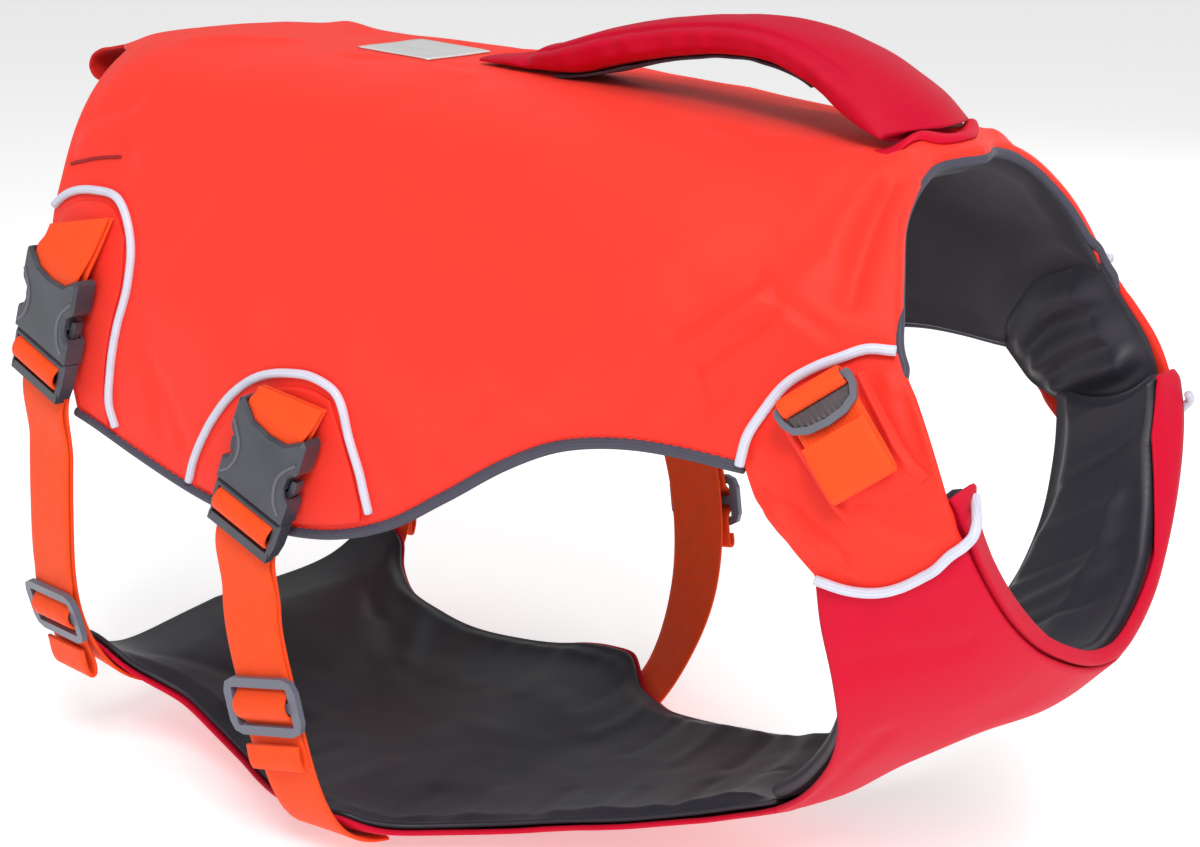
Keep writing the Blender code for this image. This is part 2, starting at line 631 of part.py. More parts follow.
def make_tongue():
    """Buckle tongue: a frame with two bars for the strap, and two springing prongs."""
    low, high = TONGUE_LOW, TONGUE_HIGH
    top, half = TONGUE_WINDOW
    frame = plate([mirrored(TONGUE)], low, high, bevel=1.0)
    frame = combined(frame, block(-half, half, top, 51, low - 1, high + 1), 'DIFFERENCE')
    for bar in TONGUE_BARS:
        frame = combined(frame, block(-half - 1, half + 1, *bar), 'UNION')
    for way in (1, -1):
        prong = plate([[(w * way, l) for w, l in TONGUE_PRONG]], 2.9, 6.1)
        frame = combined(frame, prong, 'UNION')
    return frame


def make_slider():
    """Tri-glide: a rounded frame with a bar across its middle."""
    w, l, bar = SLIDER["half_width"], SLIDER["half_length"], SLIDER["bar"]
    inside = w - 3.8
    rim = rounded_box(w, -l, l, 5)
    holes = [rounded_box(inside, -l + bar, -1.7, 0.6, 1), rounded_box(inside, 1.7, l - bar, 0.6, 1)]
    return plate([rim] + holes, SLIDER["low"], SLIDER["high"])


class Frame:
    """A place on the form, with the directions across, down and out there."""

    def __init__(self, start, end, side):
        """start and end are x, drop; down runs from start to end along a chord."""
        a, b = (form_point(x, d * side) for x, d in (start, end))
        mid_x, mid_d = (start[0] + end[0]) / 2, (start[1] + end[1]) / 2 * side
        self.down = unit(b - a)
        normal = form_normal(np.array(mid_x), np.array(mid_d))
        self.out = unit(normal - (normal @ self.down) * self.down)
        self.across = np.cross(self.down, self.out)
        self.start = a
        self.length = float(np.linalg.norm(b - a))

    def at(self, points):
        """Points given as across, down, up in this frame."""
        p = np.asarray(points, float)
        return self.start + p[..., :1] * self.across + p[..., 1:2] * self.down + p[..., 2:] * self.out

    def fold(self, path):
        """A line in the middle plane, given as down, up."""
        path = np.asarray(path, float)
        return self.at(np.concatenate([path[:, :1] * 0, path], axis=1))

    def lifted(self, tree, half_width, l0, l1, gap):
        """This frame moved out until a flat plate at its height 0 clears the surface."""
        high = -50.0
        for w in np.linspace(-half_width, half_width, 7):
            for l in np.linspace(l0, l1, 13):
                foot = self.at([w, l, 0.0])
                hit = tree.ray_cast(Vector((foot + self.out * 40) * MM), Vector(-self.out))[0]
                if hit is not None:
                    high = max(high, float((np.array(hit) / MM - foot) @ self.out))
        self.start = self.start + self.out * (high + gap)
        return self


def put(name, mesh, frame, material):
    """A copy of a hard part in a frame."""
    copy = mesh.copy()
    turn = Matrix([[*row, 0] for row in np.stack([frame.across, frame.down, frame.out]).T.tolist()]
                  + [[0, 0, 0, 1]])
    copy.transform(Matrix.Translation(Vector(frame.start * MM)) @ turn)
    copy.materials.clear()
    copy.shade_smooth()
    copy.set_sharp_from_angle(angle=math.radians(35))
    copy.name = name
    return add_object(name, copy, material)


# ---------------------------------------------------------------- back
def back_grid(columns, seam_columns, shares):
    """The back panel's places: rows of x from rear to neck, columns from spine to hem."""
    hem = np.concatenate([along(HEM, columns - seam_columns),
                          along(SHOULDER_SEAM, seam_columns)[1:]])
    return patch(along(SPINE_LINE, columns), hem, at_shares(REAR_EDGE, shares),
                 at_shares(NECK_EDGE, shares), v=shares)


EDGES = (REAR_EDGE, HEM, SHOULDER_SEAM, NECK_EDGE)
shares = [0, 0.11, 0.22, 0.33, 0.44, 0.54, 0.64, 0.73, 0.81, 0.88, 0.94, 0.975, 1]
grid = both_sides(back_grid(28, 6, shares))
x, drop = grid[..., 0], grid[..., 1]
full = ease(edge_distance(x, drop, EDGES) / FOAM_ROLL)
rise = fold_height(x, drop) * full - 1.2 * (1 - full)
foam = BACK_EDGE + (BACK_FOAM - BACK_EDGE) * full + fold_height(x, drop) * full
outward = form_normal(x, drop)
back_panel = cloth("back_panel", place(x, drop, rise), outward, foam, SHELL_RED)
on_back = surface(back_panel)

picked = np.array([1, 2, 3, 5, 7, 9, 11, 13, 15, 17, 19, 21, 23, 25, 26, 27])
half = back_grid(28, 6, shares)[picked][:, [0, 2, 4, 6, 8, 9, 10, 11]]
grid = both_sides(half)
x, drop = grid[..., 0], grid[..., 1]
outward = form_normal(x, drop)
points = lay_on(on_back, place(x, drop), outward, LAY + 0.4, from_inside=True)
back_lining = cloth("back_lining", points, outward, BACK_LINING, LINING_GREY)

for side, tag in SIDES:
    cord(f"hem_binding_{tag}", place(*(lambda p: (p[:, 0], p[:, 1] * side))(
        moved_out(HEM, BINDING + 0.4, 26)), np.full(27, -1.3)), BINDING, BINDING_GREY)

x0, x1, half_width = LABEL_PLACE
grid = np.stack(np.meshgrid(np.linspace(x0, x1, 3), np.linspace(-half_width, half_width, 7),
                            indexing="ij"), axis=-1)
piece_on(on_back, "back_label", grid, 1, LABEL, LABEL_PALE)

# ---------------------------------------------------------------- reinforcements
carriers = {}
for side, tag in SIDES:
    for name, arch in ARCHES.items():
        across, down = 6, 8
        foot = along([arch["back"][0], arch["front"][-1]], across)
        hem = np.array(HEM, float)
        foot[:, 1] = smooth_row(hem[:, 0], hem[:, 1], foot[:, 0]) - 3.0
        back, front = along(arch["back"][::-1], down), along(arch["front"], down)
        back[-1], front[-1] = foot[0], foot[-1]
        grid = patch(along(arch["top"], across), foot, back, front)
        panel = piece_on(on_back, f"{name}_arch_panel_{tag}", grid, side, ARCH_CLOTH, SHELL_RED)
        carriers[name, side] = panel
        line = along(arch["piping"], 16)
        x, drop = line[:, 0], line[:, 1] * side
        outward = form_normal(x, drop)
        points = lay_on(on_back, place(x, drop), outward, LAY + 0.3 + PIPING)
        cord(f"{name}_arch_piping_{tag}", points, PIPING, REFLECTIVE)

# ---------------------------------------------------------------- shoulders
for side, tag in SIDES:
    top = moved_out(SHOULDER_SEAM[::-1], -SEAM, 7)[::-1]
    foot = moved_out(CHEST_SEAM, -0.2, 7)
    rear = along([top[0]] + SHOULDER_REAR[1:-1] + [foot[0]], 6)
    front = along([top[-1]] + SHOULDER_FRONT[1:-1] + [foot[-1]], 6)
    grid = patch(top, foot, rear, front)
    x, drop = grid[..., 0], grid[..., 1] * side
    outward = form_normal(x, drop)
    rise = np.linspace(-0.9, 0.0, grid.shape[1])[None] * np.ones((len(grid), 1))
    panel = cloth(f"shoulder_panel_{tag}", place(x, drop, rise), outward, SHOULDER_CLOTH,
                  SHELL_RED)
    carriers["shoulder", side] = panel

    line = along(SHOULDER_SEAM, 12)
    cord(f"shoulder_seam_piping_{tag}",
         place(line[:, 0], line[:, 1] * side, np.full(13, PIPING + 0.2)), PIPING, REFLECTIVE)
    line = np.concatenate([along(CHEST_SEAM, 14)[:-1], PIPING_END])
    height = [PIPING + 0.5] * 14 + PIPING_TURN
    cord(f"chest_seam_piping_{tag}",
         place(line[:, 0], line[:, 1] * side, np.array(height)), PIPING, REFLECTIVE)

edge = moved_out(BOUND_FRONT[::-1] + NECK_EDGE[::-1][1:], NECK_BINDING + 0.5, 20)
edge = np.concatenate([edge[1:-1], [(edge[-1][0], 0)], (edge * [1, -1])[-2:0:-1]])
cord("neck_binding", place(edge[:, 0], edge[:, 1], np.full(len(edge), -1.9)), NECK_BINDING,
     BINDING_GREY)

# ---------------------------------------------------------------- chest and belly
def seam_line(up, forward=0.0):
    """The chest seam moved up over the shoulder, as x and reach."""
    line = moved_out(CHEST_SEAM, -up, 7)
    line[:, 0] += forward * np.linspace(0, 1, 8)
    return np.stack([line[:, 0], half_girth(line[:, 0]) - line[:, 1]], axis=-1)


def chest_grid(up, forward, inset, rows, front_line):
    """Places of the chest piece, from its leg edge to its front edge, both sides."""
    top = seam_line(up, forward)
    top[:, 0] += inset * np.linspace(1, 0, 8)
    seam = BELLY_SEAM_X + 0.3
    leg = [(seam, LEG_EDGE[0][1] - inset)] + [(x + inset, r) for x, r in LEG_EDGE[1:-1]]
    rear = np.concatenate([along([(seam, 0), leg[0]], 3), along(leg + [tuple(top[0])], rows - 3)[1:]])
    front = along(front_line + [tuple(top[-1])], rows)
    return to_drop(both_sides(patch(along([rear[0], front[0]], 7), top, rear, front)))


grid = chest_grid(-0.9, 0, 0, 12, CHEST_FRONT[:-1])
x, drop = grid[..., 0], grid[..., 1]
chest_panel = cloth("chest_panel", place(x, drop), form_normal(x, drop), SHELL, CRIMSON)

grid = chest_grid(PAD_ABOVE_SEAM, 7.0, 1.0, 12, PAD_FRONT)
x, drop = grid[..., 0], grid[..., 1]
rows = np.linspace(0, 1, len(grid))[:, None]
reach = half_girth(x.reshape(-1)).reshape(x.shape) - np.abs(drop)
rear_soft = ease(rows * 3.4) * ease((x - BELLY_SEAM_X) / 34)
top_soft = 0.35 + 0.65 * ease((148 - reach) / 16)
front_soft = 1 - np.interp(reach, [50, 72, 98], [0.65, 0.4, 0]) * ease(rows * 5 - 4)
foam = 5.0 + (CHEST_FOAM - 5.0) * np.minimum(rear_soft, top_soft)
chest_pad = cloth("chest_pad", place(x, drop, np.full(x.shape, -4.5)), form_normal(x, drop),
                  foam * front_soft, LINING_GREY)

front = along([(x, -r) for x, r in FACING_FRONT[:0:-1]] + FACING_FRONT, 22)
reach = np.abs(front[:, 1])
under = -np.interp(reach, [109, 119], [2.5, 2.9])
levels = [(-10.0, under), (1.9, under), (2.2, -np.interp(reach, *FACING_DEEP))]
points, outward = [], []
for ahead, out in levels:
    rim = to_drop(front + [ahead, 0])
    points.append(place(rim[:, 0], rim[:, 1], out))
    outward.append(form_normal(rim[:, 0], rim[:, 1]))
cloth("chest_facing", np.stack(points, axis=1), np.stack(outward, axis=1), FACING_CLOTH, CRIMSON)

side_line = np.array(BELLY_SIDE, float)
share = (side_line[:, 0] + 134) / (BELLY_SEAM_X + 134)


def belly_grid(picked, shares, inset):
    """Places of the belly piece from rear to seam, both sides."""
    u = share[picked]
    side = side_line[picked] - [0, inset]
    side[0] += [inset, 0]
    side[-1] = (BELLY_SEAM_X - 0.3, side[-1][1])
    middle = at_shares([(-149 + inset, 0), (BELLY_SEAM_X - 0.3, 0)], u)
    rear = BELLY_REAR[:-1] + [tuple(side[0] - [inset, 0])]
    start = at_shares(rear, shares) + [inset, 0]
    end = at_shares([middle[-1], side[-1]], shares)
    return to_drop(both_sides(patch(middle, side, start, end, u=u, v=shares)))


grid = belly_grid(list(range(len(BELLY_SIDE))), [0, 0.35, 0.62, 0.8, 0.92, 1], 0.0)
x, drop = grid[..., 0], grid[..., 1]
belly_panel = cloth("belly_panel", place(x, drop), form_normal(x, drop), SHELL, CRIMSON)
on_belly = surface(belly_panel)
grid = belly_grid([0, 1, 2, 3, 4, 6, 8, 9, 11, 12, 14, 16, 18, 20, 22], [0, 0.35, 0.62, 0.84, 1],
                  1.6)
x, drop = grid[..., 0], grid[..., 1]
outward = form_normal(x, drop)
points = lay_on(on_belly, place(x, drop, np.full(x.shape, -3.0)), outward, LAY + 0.2,
                from_inside=True)
cloth("belly_lining", points, outward, BELLY_FOAM, LINING_GREY)

for side, tag in SIDES:
    top = moved_out(SHOULDER_SEAM[::-1], -1.6, 6)[::-1]
    foot = moved_out(CHEST_SEAM, -(PAD_ABOVE_SEAM + 3.2), 6)
    rear = along([top[0], (171.5, 146.5), (176, 149.5), foot[0]], 4)
    front = along([top[-1], (208.5, 102.5), foot[-1]], 4)
    grid = patch(top, foot, rear, front)
    x, drop = grid[..., 0], grid[..., 1] * side
    cloth(f"shoulder_lining_{tag}", place(x, drop, np.full(x.shape, -3.9)),
          form_normal(x, drop), SHOULDER_LINING, LINING_GREY)

# ---------------------------------------------------------------- handle and loop
def handle_edge(row, y):
    """x of the handle at y: it bows forward in its middle."""
    x, bow, top, under, half_width = row
    return x + bow * (1 - (y / half_width) ** 2)


def handle_ring(row):
    """One section of the handle, flatter below than above."""
    x, bow, top, under, half_width = row
    turn = np.radians([0, 22, 50, 90, 130, 158, 180, 205, 240, 270, 300, 335])
    y = half_width * np.sign(np.cos(turn)) * np.abs(np.cos(turn)) ** 0.8
    middle = under + 0.42 * (top - under)
    z = middle + np.where(turn <= math.pi, top - middle, middle - under) * np.sign(
        np.sin(turn)) * np.abs(np.sin(turn)) ** 0.75
    return np.stack([handle_edge(row, y), y, z], axis=-1)


rings = np.stack([handle_ring(row) for row in HANDLE])
grip = solid_mesh("handle_grip", rings.reshape(-1, 3), tube_faces(len(rings), 12), CRIMSON)

x0, x1, half_width = HANDLE_TAPE
rows = at_shares(HANDLE, np.linspace(0, 1, 41))
rows = rows[(rows[:, 0] >= x0) & (rows[:, 0] <= x1)][::2]
across = np.linspace(-half_width, half_width, 5)
points = np.array([[(row[0], y, row[3]) for y in across] for row in rows])
downward = np.broadcast_to([0.0, 0.0, -1.0], points.shape)
points = lay_on(surface(grip), points, downward, LAY + 1.0)
cloth("handle_underside", points, downward, 1.0, BINDING_GREY)

row = HANDLE[-1]
across = np.linspace(-row[4], row[4], 11)
grid = np.array([[(handle_edge(row, y) + 0.7 + step, y) for y in across]
                 for step in np.linspace(0, HANDLE_SEAM, 3)])
drop = np.array([[np.interp(abs(y), half_rings([x])[0][0][:110], half_rings([x])[2][0][:110])
                  * np.sign(y) for x, y in line] for line in grid])
piece_on(on_back, "handle_front_tab", np.stack([grid[..., 0], drop], axis=-1), 1, 1.4, CRIMSON,
         above=0.35)

path = at_shares([(x, 0, z) for x, z in RUMP_LOOP], np.linspace(0, 1, 80))
webbing("rump_loop", path, np.array([0.0, 1.0, 0.0]), CRIMSON, thick=1.3)

# ---------------------------------------------------------------- shoulder adjusters
start, end = (np.array(ADJUSTER[k], float) for k in ("top", "bottom"))
run = (end - start) / np.hypot(*(end - start))
sideways = np.array([run[1], -run[0]])


def down_shoulder(w, l):
    return start + sideways * w + run * l


for side, tag in SIDES:
    on_shoulder = surface(carriers["shoulder", side])
    columns, welt_at, length = np.array(CHANNEL[0]), CHANNEL[1], CHANNEL[2]
    top = 2.5 + 0.08 * np.maximum(0, -columns - 9.5) ** 2
    grid = np.array([[down_shoulder(w, l + (length - l) * t) for w, l in zip(columns, top)]
                     for t in np.linspace(0, 1, 6)])
    welt = 2.2 * np.exp(-((np.abs(columns) - welt_at) / 2) ** 2)
    channel = piece_on(on_shoulder, f"shoulder_channel_{tag}", grid, side, 1.2, SHELL_RED,
                       above=welt[None])
    frame = Frame(tuple(start), tuple(down_shoulder(0, 28)), side)
    frame.lifted(surface(channel), 10.5, 0, 31, 0.4)
    across = frame.across
    path = frame.fold([(7, 0.9), (1.4, 0.9), (0.1, 1.5), (-0.4, 3.0), (0.0, 4.7), (1.2, 5.5),
                       (2.8, 5.4), (3.8, 4.5), (3.95, 3.5)])
    webbing(f"shoulder_webbing_{tag}", at_shares(path, np.linspace(0, 1, 40)), across, WEB_ORANGE,
            width=20)
    lock = combined(plate([mirrored(LOCK_RIM), mirrored(LOCK_HOLE)], 2.0, 4.4),
                    plate([mirrored(LOCK_PLATE)], 2.1, 3.2), 'UNION')
    put(f"ladder_lock_{tag}", lock, frame, BUCKLE_GREY)
    path = frame.fold(TAB_FOLD)
    webbing(f"shoulder_tab_{tag}", at_shares(path, np.linspace(0, 1, 40)), across, WEB_ORANGE,
            width=20)

# ---------------------------------------------------------------- buckles and straps
socket, tongue, slider = make_socket(), make_tongue(), make_slider()
SLIDER_PASS = [(-8.4, 3.45), (-6.8, 3.6), (-4.5, 5.3), (-2.9, 7.1), (-1.2, 8.0), (1.2, 8.0),
               (2.9, 7.1), (4.5, 5.3), (6.8, 3.6), (8.4, 3.45)]


class Route:
    """The line on the form that a strap follows from its buckle to under the belly."""

    def __init__(self, places, side):
        self.places = at_shares(places, np.linspace(0, 1, 200)) * [1, side]
        self.line = form_point(self.places[:, 0], self.places[:, 1])
        steps = np.linalg.norm(np.diff(self.line, axis=0), axis=1)
        self.length = np.concatenate([[0], np.cumsum(steps)])

    def at(self, s, out):
        x, drop = (np.interp(s, self.length, self.places[:, k]) for k in (0, 1))
        return place(x, drop, np.full(np.shape(x), out))

    def across(self, s):
        """The direction of the strap's width, the same as the buckle's."""
        down = self.at(s + 2.0, 0.0) - self.at(s - 2.0, 0.0)
        x, drop = (np.interp(s, self.length, self.places[:, k]) for k in (0, 1))
        return unit(np.cross(down, form_normal(x, drop)))

    def nearest(self, place_, side):
        gaps = np.hypot(*(self.places - np.array(place_) * [1, side]).T)
        return float(self.length[gaps.argmin()])


def slider_frame(route, s, slack):
    frame = Frame((0, 0), (1, 0), 1)
    frame.start = route.at(np.array(s), 0.0)
    frame.down = unit(route.at(np.array(s + 6.0), 0.0) - route.at(np.array(s - 6.0), 0.0))
    frame.across = route.across(np.array(s))
    frame.out = np.cross(frame.across, frame.down)
    frame.start = frame.start + frame.out * slack
    return frame


for (name, side), strap in STRAPS.items():
    tag = "R" if side == RIGHT else "L"
    arch, hem = carriers[name, side], jacket.objects[f"hem_binding_{tag}"]
    frame = Frame(strap["top"], strap["bottom"], side)
    frame.lifted(surface(back_panel, arch, hem), 17, 0, 50, 0.7)
    put(f"{name}_buckle_socket_{tag}", socket, frame, BUCKLE_GREY)
    put(f"{name}_buckle_tongue_{tag}", tongue, frame, BUCKLE_GREY)

    # loop from the arch to the socket's bar
    high, low = (np.array(strap[k], float) for k in ("top", "bottom"))
    x, drop = (high - (low - high) / np.hypot(*(low - high)) * strap["sewn"]) * [1, side]
    run = np.array(strap["seam"]) * [1, side]
    edge = unit(form_point(x + run[0] * 5, drop + run[1] * 5) - form_point(x, drop))
    outward = form_normal(np.array(x), np.array(drop))
    foot = lay_on(surface(back_panel, arch), place(np.array([x]), np.array([drop])),
                  outward[None], LAY + WEB / 2 + 0.9)[0]
    fold = frame.fold(SOCKET_FOLD)
    middle = foot + (fold[0] - foot) * 0.55
    path = [foot, middle, *fold, middle + outward * 2.2, foot + outward * 2.0]
    webbing(f"{name}_buckle_loop_{tag}", at_shares(path, np.linspace(0, 1, 120)), frame.across,
            WEB_ORANGE, edge, slant_run=strap["sewn"] + 1)

    # strap: up from the belly, through the tongue, down through the slider, folded end
    last = frame.at([0, 56, 0])
    route = Route([strap["bottom"]] + strap["line"], side)
    s_slider = route.nearest(strap["slider"], side)
    hold = slider_frame(route, s_slider, strap["slack"])
    put(f"{name}_slider_{tag}", slider, hold, SLIDER_GREY)
    near = min(22.0, s_slider - 13.5)
    up, back = np.arange(route.length[-1], near, -4.0), np.arange(near + 1, s_slider - 12, 4.0)
    inner, outer = route.at(up, INNER_OUT), route.at(back, OUTER_OUT + strap["slack"])
    tail = 11.5 + strap["tail"]
    end = [(12, 3.45), (tail, 3.45), (tail + 1.1, 3.9), (tail + 1.4, 4.7), (tail + 1.1, 5.6),
           (tail, 6.0), (14, 6.0)]
    path = np.concatenate([inner, frame.fold(TONGUE_FOLD), outer, hold.fold(SLIDER_PASS),
                           hold.fold(end)])
    side_way = np.concatenate([
        route.across(up), np.tile(frame.across, (len(TONGUE_FOLD), 1)), route.across(back),
        np.tile(hold.across, (len(SLIDER_PASS) + len(end), 1))])
    both = at_shares(np.concatenate([path, side_way * 0.01], axis=1), np.linspace(0, 1, 500))
    webbing(f"{name}_strap_{tag}", both[:, :3], unit(both[:, 3:]), WEB_ORANGE)
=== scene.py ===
import math

import bpy
import numpy as np
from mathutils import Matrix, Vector


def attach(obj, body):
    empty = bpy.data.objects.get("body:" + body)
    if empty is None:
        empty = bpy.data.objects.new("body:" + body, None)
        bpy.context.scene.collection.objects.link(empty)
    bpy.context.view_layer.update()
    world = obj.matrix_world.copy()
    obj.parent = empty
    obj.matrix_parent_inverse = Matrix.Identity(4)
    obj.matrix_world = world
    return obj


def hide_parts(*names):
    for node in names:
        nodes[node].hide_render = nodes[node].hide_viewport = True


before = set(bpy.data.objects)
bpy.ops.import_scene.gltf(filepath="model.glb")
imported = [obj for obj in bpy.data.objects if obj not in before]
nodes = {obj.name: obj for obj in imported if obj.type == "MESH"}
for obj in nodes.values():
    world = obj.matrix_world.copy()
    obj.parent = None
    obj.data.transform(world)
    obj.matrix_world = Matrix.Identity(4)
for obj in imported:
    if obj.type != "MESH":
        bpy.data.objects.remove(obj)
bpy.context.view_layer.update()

MM = 0.001
LAY = 0.55
RIGHT, LEFT = -1, 1
SIDES = ((RIGHT, "R"), (LEFT, "L"))
BACK_FOAM, BACK_EDGE, FOAM_ROLL = 7.0, 2.6, 13.0
WEB_WIDTH, WEB = 25.0, 1.4
PIPING, BINDING, NECK_BINDING = 1.7, 2.1, 1.6
CHEST_FOAM, PAD_ABOVE_SEAM, FACING_CLOTH = 12.5, 15.0, 1.0

# The form, a row for each section.  Heights are from the inside of the back.
# x, top of the back, keel, half width, height of the widest place,
# and how square the section is above and below it (2 is an ellipse).
SECTIONS = np.array([
    # x    top  keel  half  widest  upper lower
    (-180,   3, -224,  82,  -100,   2.6,  5.0),
    (-150,  12, -228,  91,  -102,   2.8,  5.0),
    (-120,  16, -231,  96,  -104,   3.0,  5.0),
    (-60,   14, -253, 100,  -106,   3.3,  5.0),
    (0,     10, -256, 100,  -108,   3.5,  8.0),
    (30,     8, -259,  99,  -108,   3.5,  4.5),
    (60,     6, -255,  98,  -108,   3.5,  3.2),
    (100,    2, -244,  97,  -106,   3.5,  2.8),
    (130,   -1, -234,  95,  -104,   3.2,  2.5),
    (160,   -3, -221,  92,  -102,   2.8,  2.3),
    (190,   -3, -198,  90,  -100,   2.3,  2.1),
    (210,   -5, -185, 86.5,  -95,   2.0,  1.9),
    (228,   -7, -174,  85,   -86,   2.0,  1.75),
    (242,   -9, -160,  83,   -74,   1.9,  1.7),
    (255,  -10, -145,  81,   -68,   1.9,  1.7)], float)

# Outlines of the upper pieces: x, drop
SPINE_LINE = [(-160, 0), (194, 0)]
REAR_EDGE = [(-160, 0), (-152, 25), (-131, 45), (-124, 66), (-121, 85), (-120, 106),
             (-122, 125), (-119, 150), (-113, 180), (-110, 193)]
HEM = [(-110, 193), (-74, 205), (-39, 214), (-10, 216.5), (10, 213.5), (37, 203), (61, 187),
       (85, 170), (107, 157), (124, 150), (147, 144), (166, 141)]
SHOULDER_SEAM = [(166, 141), (168, 132), (172, 124), (178, 114), (185, 107), (191, 102),
                 (198, 96), (205, 93)]
NECK_EDGE = [(192.5, 0), (191.2, 6), (189, 12), (187, 20), (188, 31), (190, 43), (193, 56), (198, 70),
             (202, 83), (205, 93)]
SHOULDER_FRONT = [(205, 93), (212, 104), (220, 118), (230, 141)]
BOUND_FRONT = [(205, 93), (208, 97.7), (211, 102.4)]    # as far down as it is bound
SHOULDER_REAR = [(166, 141), (170, 148), (175, 153), (182, 159), (190, 165)]
CHEST_SEAM = [(190, 165), (197, 164), (204, 161.5), (213, 156.5), (222, 150), (230, 141)]
PIPING_END = [(231.4, 140.5), (234.6, 140), (236.4, 139), (236.2, 138), (234.6, 136)]
PIPING_TURN = [2.0, 1.2, -2.0, -8.0, -14.0]     # heights as the piping goes over the front

# Outlines of the lower pieces: x, reach
BELLY_SEAM_X = 150
LEG_EDGE = [(150, 39), (165, 47), (178, 59), (187, 75), (191, 96), (190.5, 122), (190, 138)]
CHEST_FRONT = [(245, 0), (244, 20), (242.5, 38), (240, 56), (237.5, 74), (234, 98), (230, 118)]
PAD_FRONT = CHEST_FRONT[:-1] + [(230.6, 116), (229, 122)]   # up to the pad's top corner
FACING_FRONT = CHEST_FRONT[:-1] + [(230.6, 117), (229.2, 123), (226.5, 129)]
FACING_DEEP = ([0, 50, 72, 98], [4.8, 5.4, 10.0, 15.5])     # reach, how far it goes inwards
BELLY_REAR = [(-149, 0), (-146, 30), (-141, 60), (-137, 80), (-134, 90)]
BELLY_SIDE = [(-134, 90), (-125, 92), (-116, 89), (-108, 77), (-98, 70), (-80, 71), (-60, 76),
              (-45, 82), (-30, 88), (-18, 93), (-5, 95), (6, 94), (14, 86), (22, 77), (32, 70),
              (45, 62), (60, 56), (75, 51), (90, 47), (105, 42), (120, 38), (135, 36), (150, 39)]

# Reinforcements under the buckles: x, drop, along the back, the top and the front
ARCHES = {
    "rear": {"back": [(-106, 190), (-113, 160), (-117, 126)],
             "top": [(-117, 126), (-110, 120), (-98, 118), (-86, 119.5), (-78, 129)],
             "front": [(-78, 129), (-79, 144), (-85, 160), (-91, 182), (-91, 196)],
             "piping": [(-120, 118.5), (-116, 116.5), (-108, 114.5), (-96, 114), (-83, 116),
                        (-74.5, 128), (-75, 144), (-81, 160), (-86, 176), (-88, 190),
                        (-86.5, 197)]},
    "mid": {"back": [(-45, 208), (-39, 197), (-30, 186), (-20, 177)],
            "top": [(-20, 177), (-9, 170), (1, 166.5), (11, 165.5), (18, 167)],
            "front": [(18, 167), (22.5, 180), (26, 191), (28, 200)],
            "piping": [(-49.5, 210), (-43, 197), (-34, 184), (-24, 173.5), (-12, 165.5),
                       (1, 161.5), (12, 160.5), (20.5, 163), (26, 178), (30, 190), (32, 201)]}}

# Soft hollows and ridges in the back panel, the same on both sides
FOLDS = [
    # x0   drop0   x1   drop1  height  half width
    (-114, 104,   -86,  102,   -2.4,   6.0),
    (-112,  94,   -88,   90,    1.6,   7.0),
    (150,  112,   172,   92,    1.6,   8.0),
    (172,   92,   194,   92,    1.2,   7.0),
    (146,   98,   164,   80,   -1.4,   8.0),
    (184,   40,   190,   84,   -1.6,   8.0),
    (170,   36,   174,   84,    1.6,   9.0),
    (-40,  120,    20,  110,   -1.5,  18.0),
    (60,   150,   120,  120,    1.6,  16.0),
    (-100,  60,   -40,   90,    1.5,  16.0),
    (20,    40,    40,  150,    1.2,  20.0)]

# Webbing from each buckle to the belly.  Buckle top and bottom, slider, then the
# line down to the belly and under it, all as x, drop; tail is the folded end.
# The loop is sewn to the arch so far above the buckle, along a seam in the seam direction.
STRAPS = {
    ("rear", RIGHT): {"sewn": 14, "seam": (1, -0.15),
                      "top": (-101.5, 138), "bottom": (-119.5, 184.4), "slider": (-130, 270),
                      "line": [(-126, 228), (-130, 270), (-127, 294), (-124, 320)], "tail": 13,
                      "slack": 0},
    ("rear", LEFT): {"sewn": 14, "seam": (1, -0.15),
                     "top": (-101.5, 138), "bottom": (-118.5, 184.6), "slider": (-129, 266),
                     "line": [(-125, 228), (-129, 266), (-127, 294), (-124, 320)], "tail": 13,
                     "slack": 0},
    ("mid", RIGHT): {"sewn": 6.5, "seam": (1, 0.1),
                     "top": (3, 174), "bottom": (-17, 220), "slider": (-13, 281),
                     "line": [(-19, 252), (-13, 281), (-4, 325), (0, 350)], "tail": 10,
                     "slack": 0},
    ("mid", LEFT): {"sewn": 6.5, "seam": (1, -0.12),
                    "top": (2, 174.5), "bottom": (20, 221.5), "slider": (29.5, 252),
                    "line": [(26, 236), (29.5, 252), (31, 282), (24, 320), (16, 350)], "tail": 6,
                    "slack": 2.0}}

# Handle: x of its corners, how far its middle bows forward, top, underside, half width
HANDLE = np.array([
    (9,    0, 12.4, 10.4, 10),
    (20,   0, 13.4,  9.6, 11),
    (29,   0, 14.2,  8.9, 12),
    (34,   0, 17.0,  8.8, 13),
    (42,   0, 19.0,  8.6, 14.5),
    (52,   0, 21.8,  9.2, 15.8),
    (63,   0, 24.8, 11.4, 16.6),
    (78,   0, 27.5, 14.8, 17.3),
    (94,   0, 29.5, 17.3, 17.6),
    (109,  1, 30.2, 18.6, 18),
    (123,  2, 29.4, 17.6, 18.7),
    (136,  4, 26.6, 13.6, 20),
    (147,  6, 22.2,  7.2, 22),
    (157,  8, 16.4,  1.0, 24.5),
    (166, 10.5, 9.0, -1.8, 26.6),
    (172, 12,  1.8, -2.2, 27)], float)
HANDLE_TAPE = (46, 136, 11)          # x from, x to, half width
HANDLE_SEAM = 3.4                    # crimson strip in front of the handle
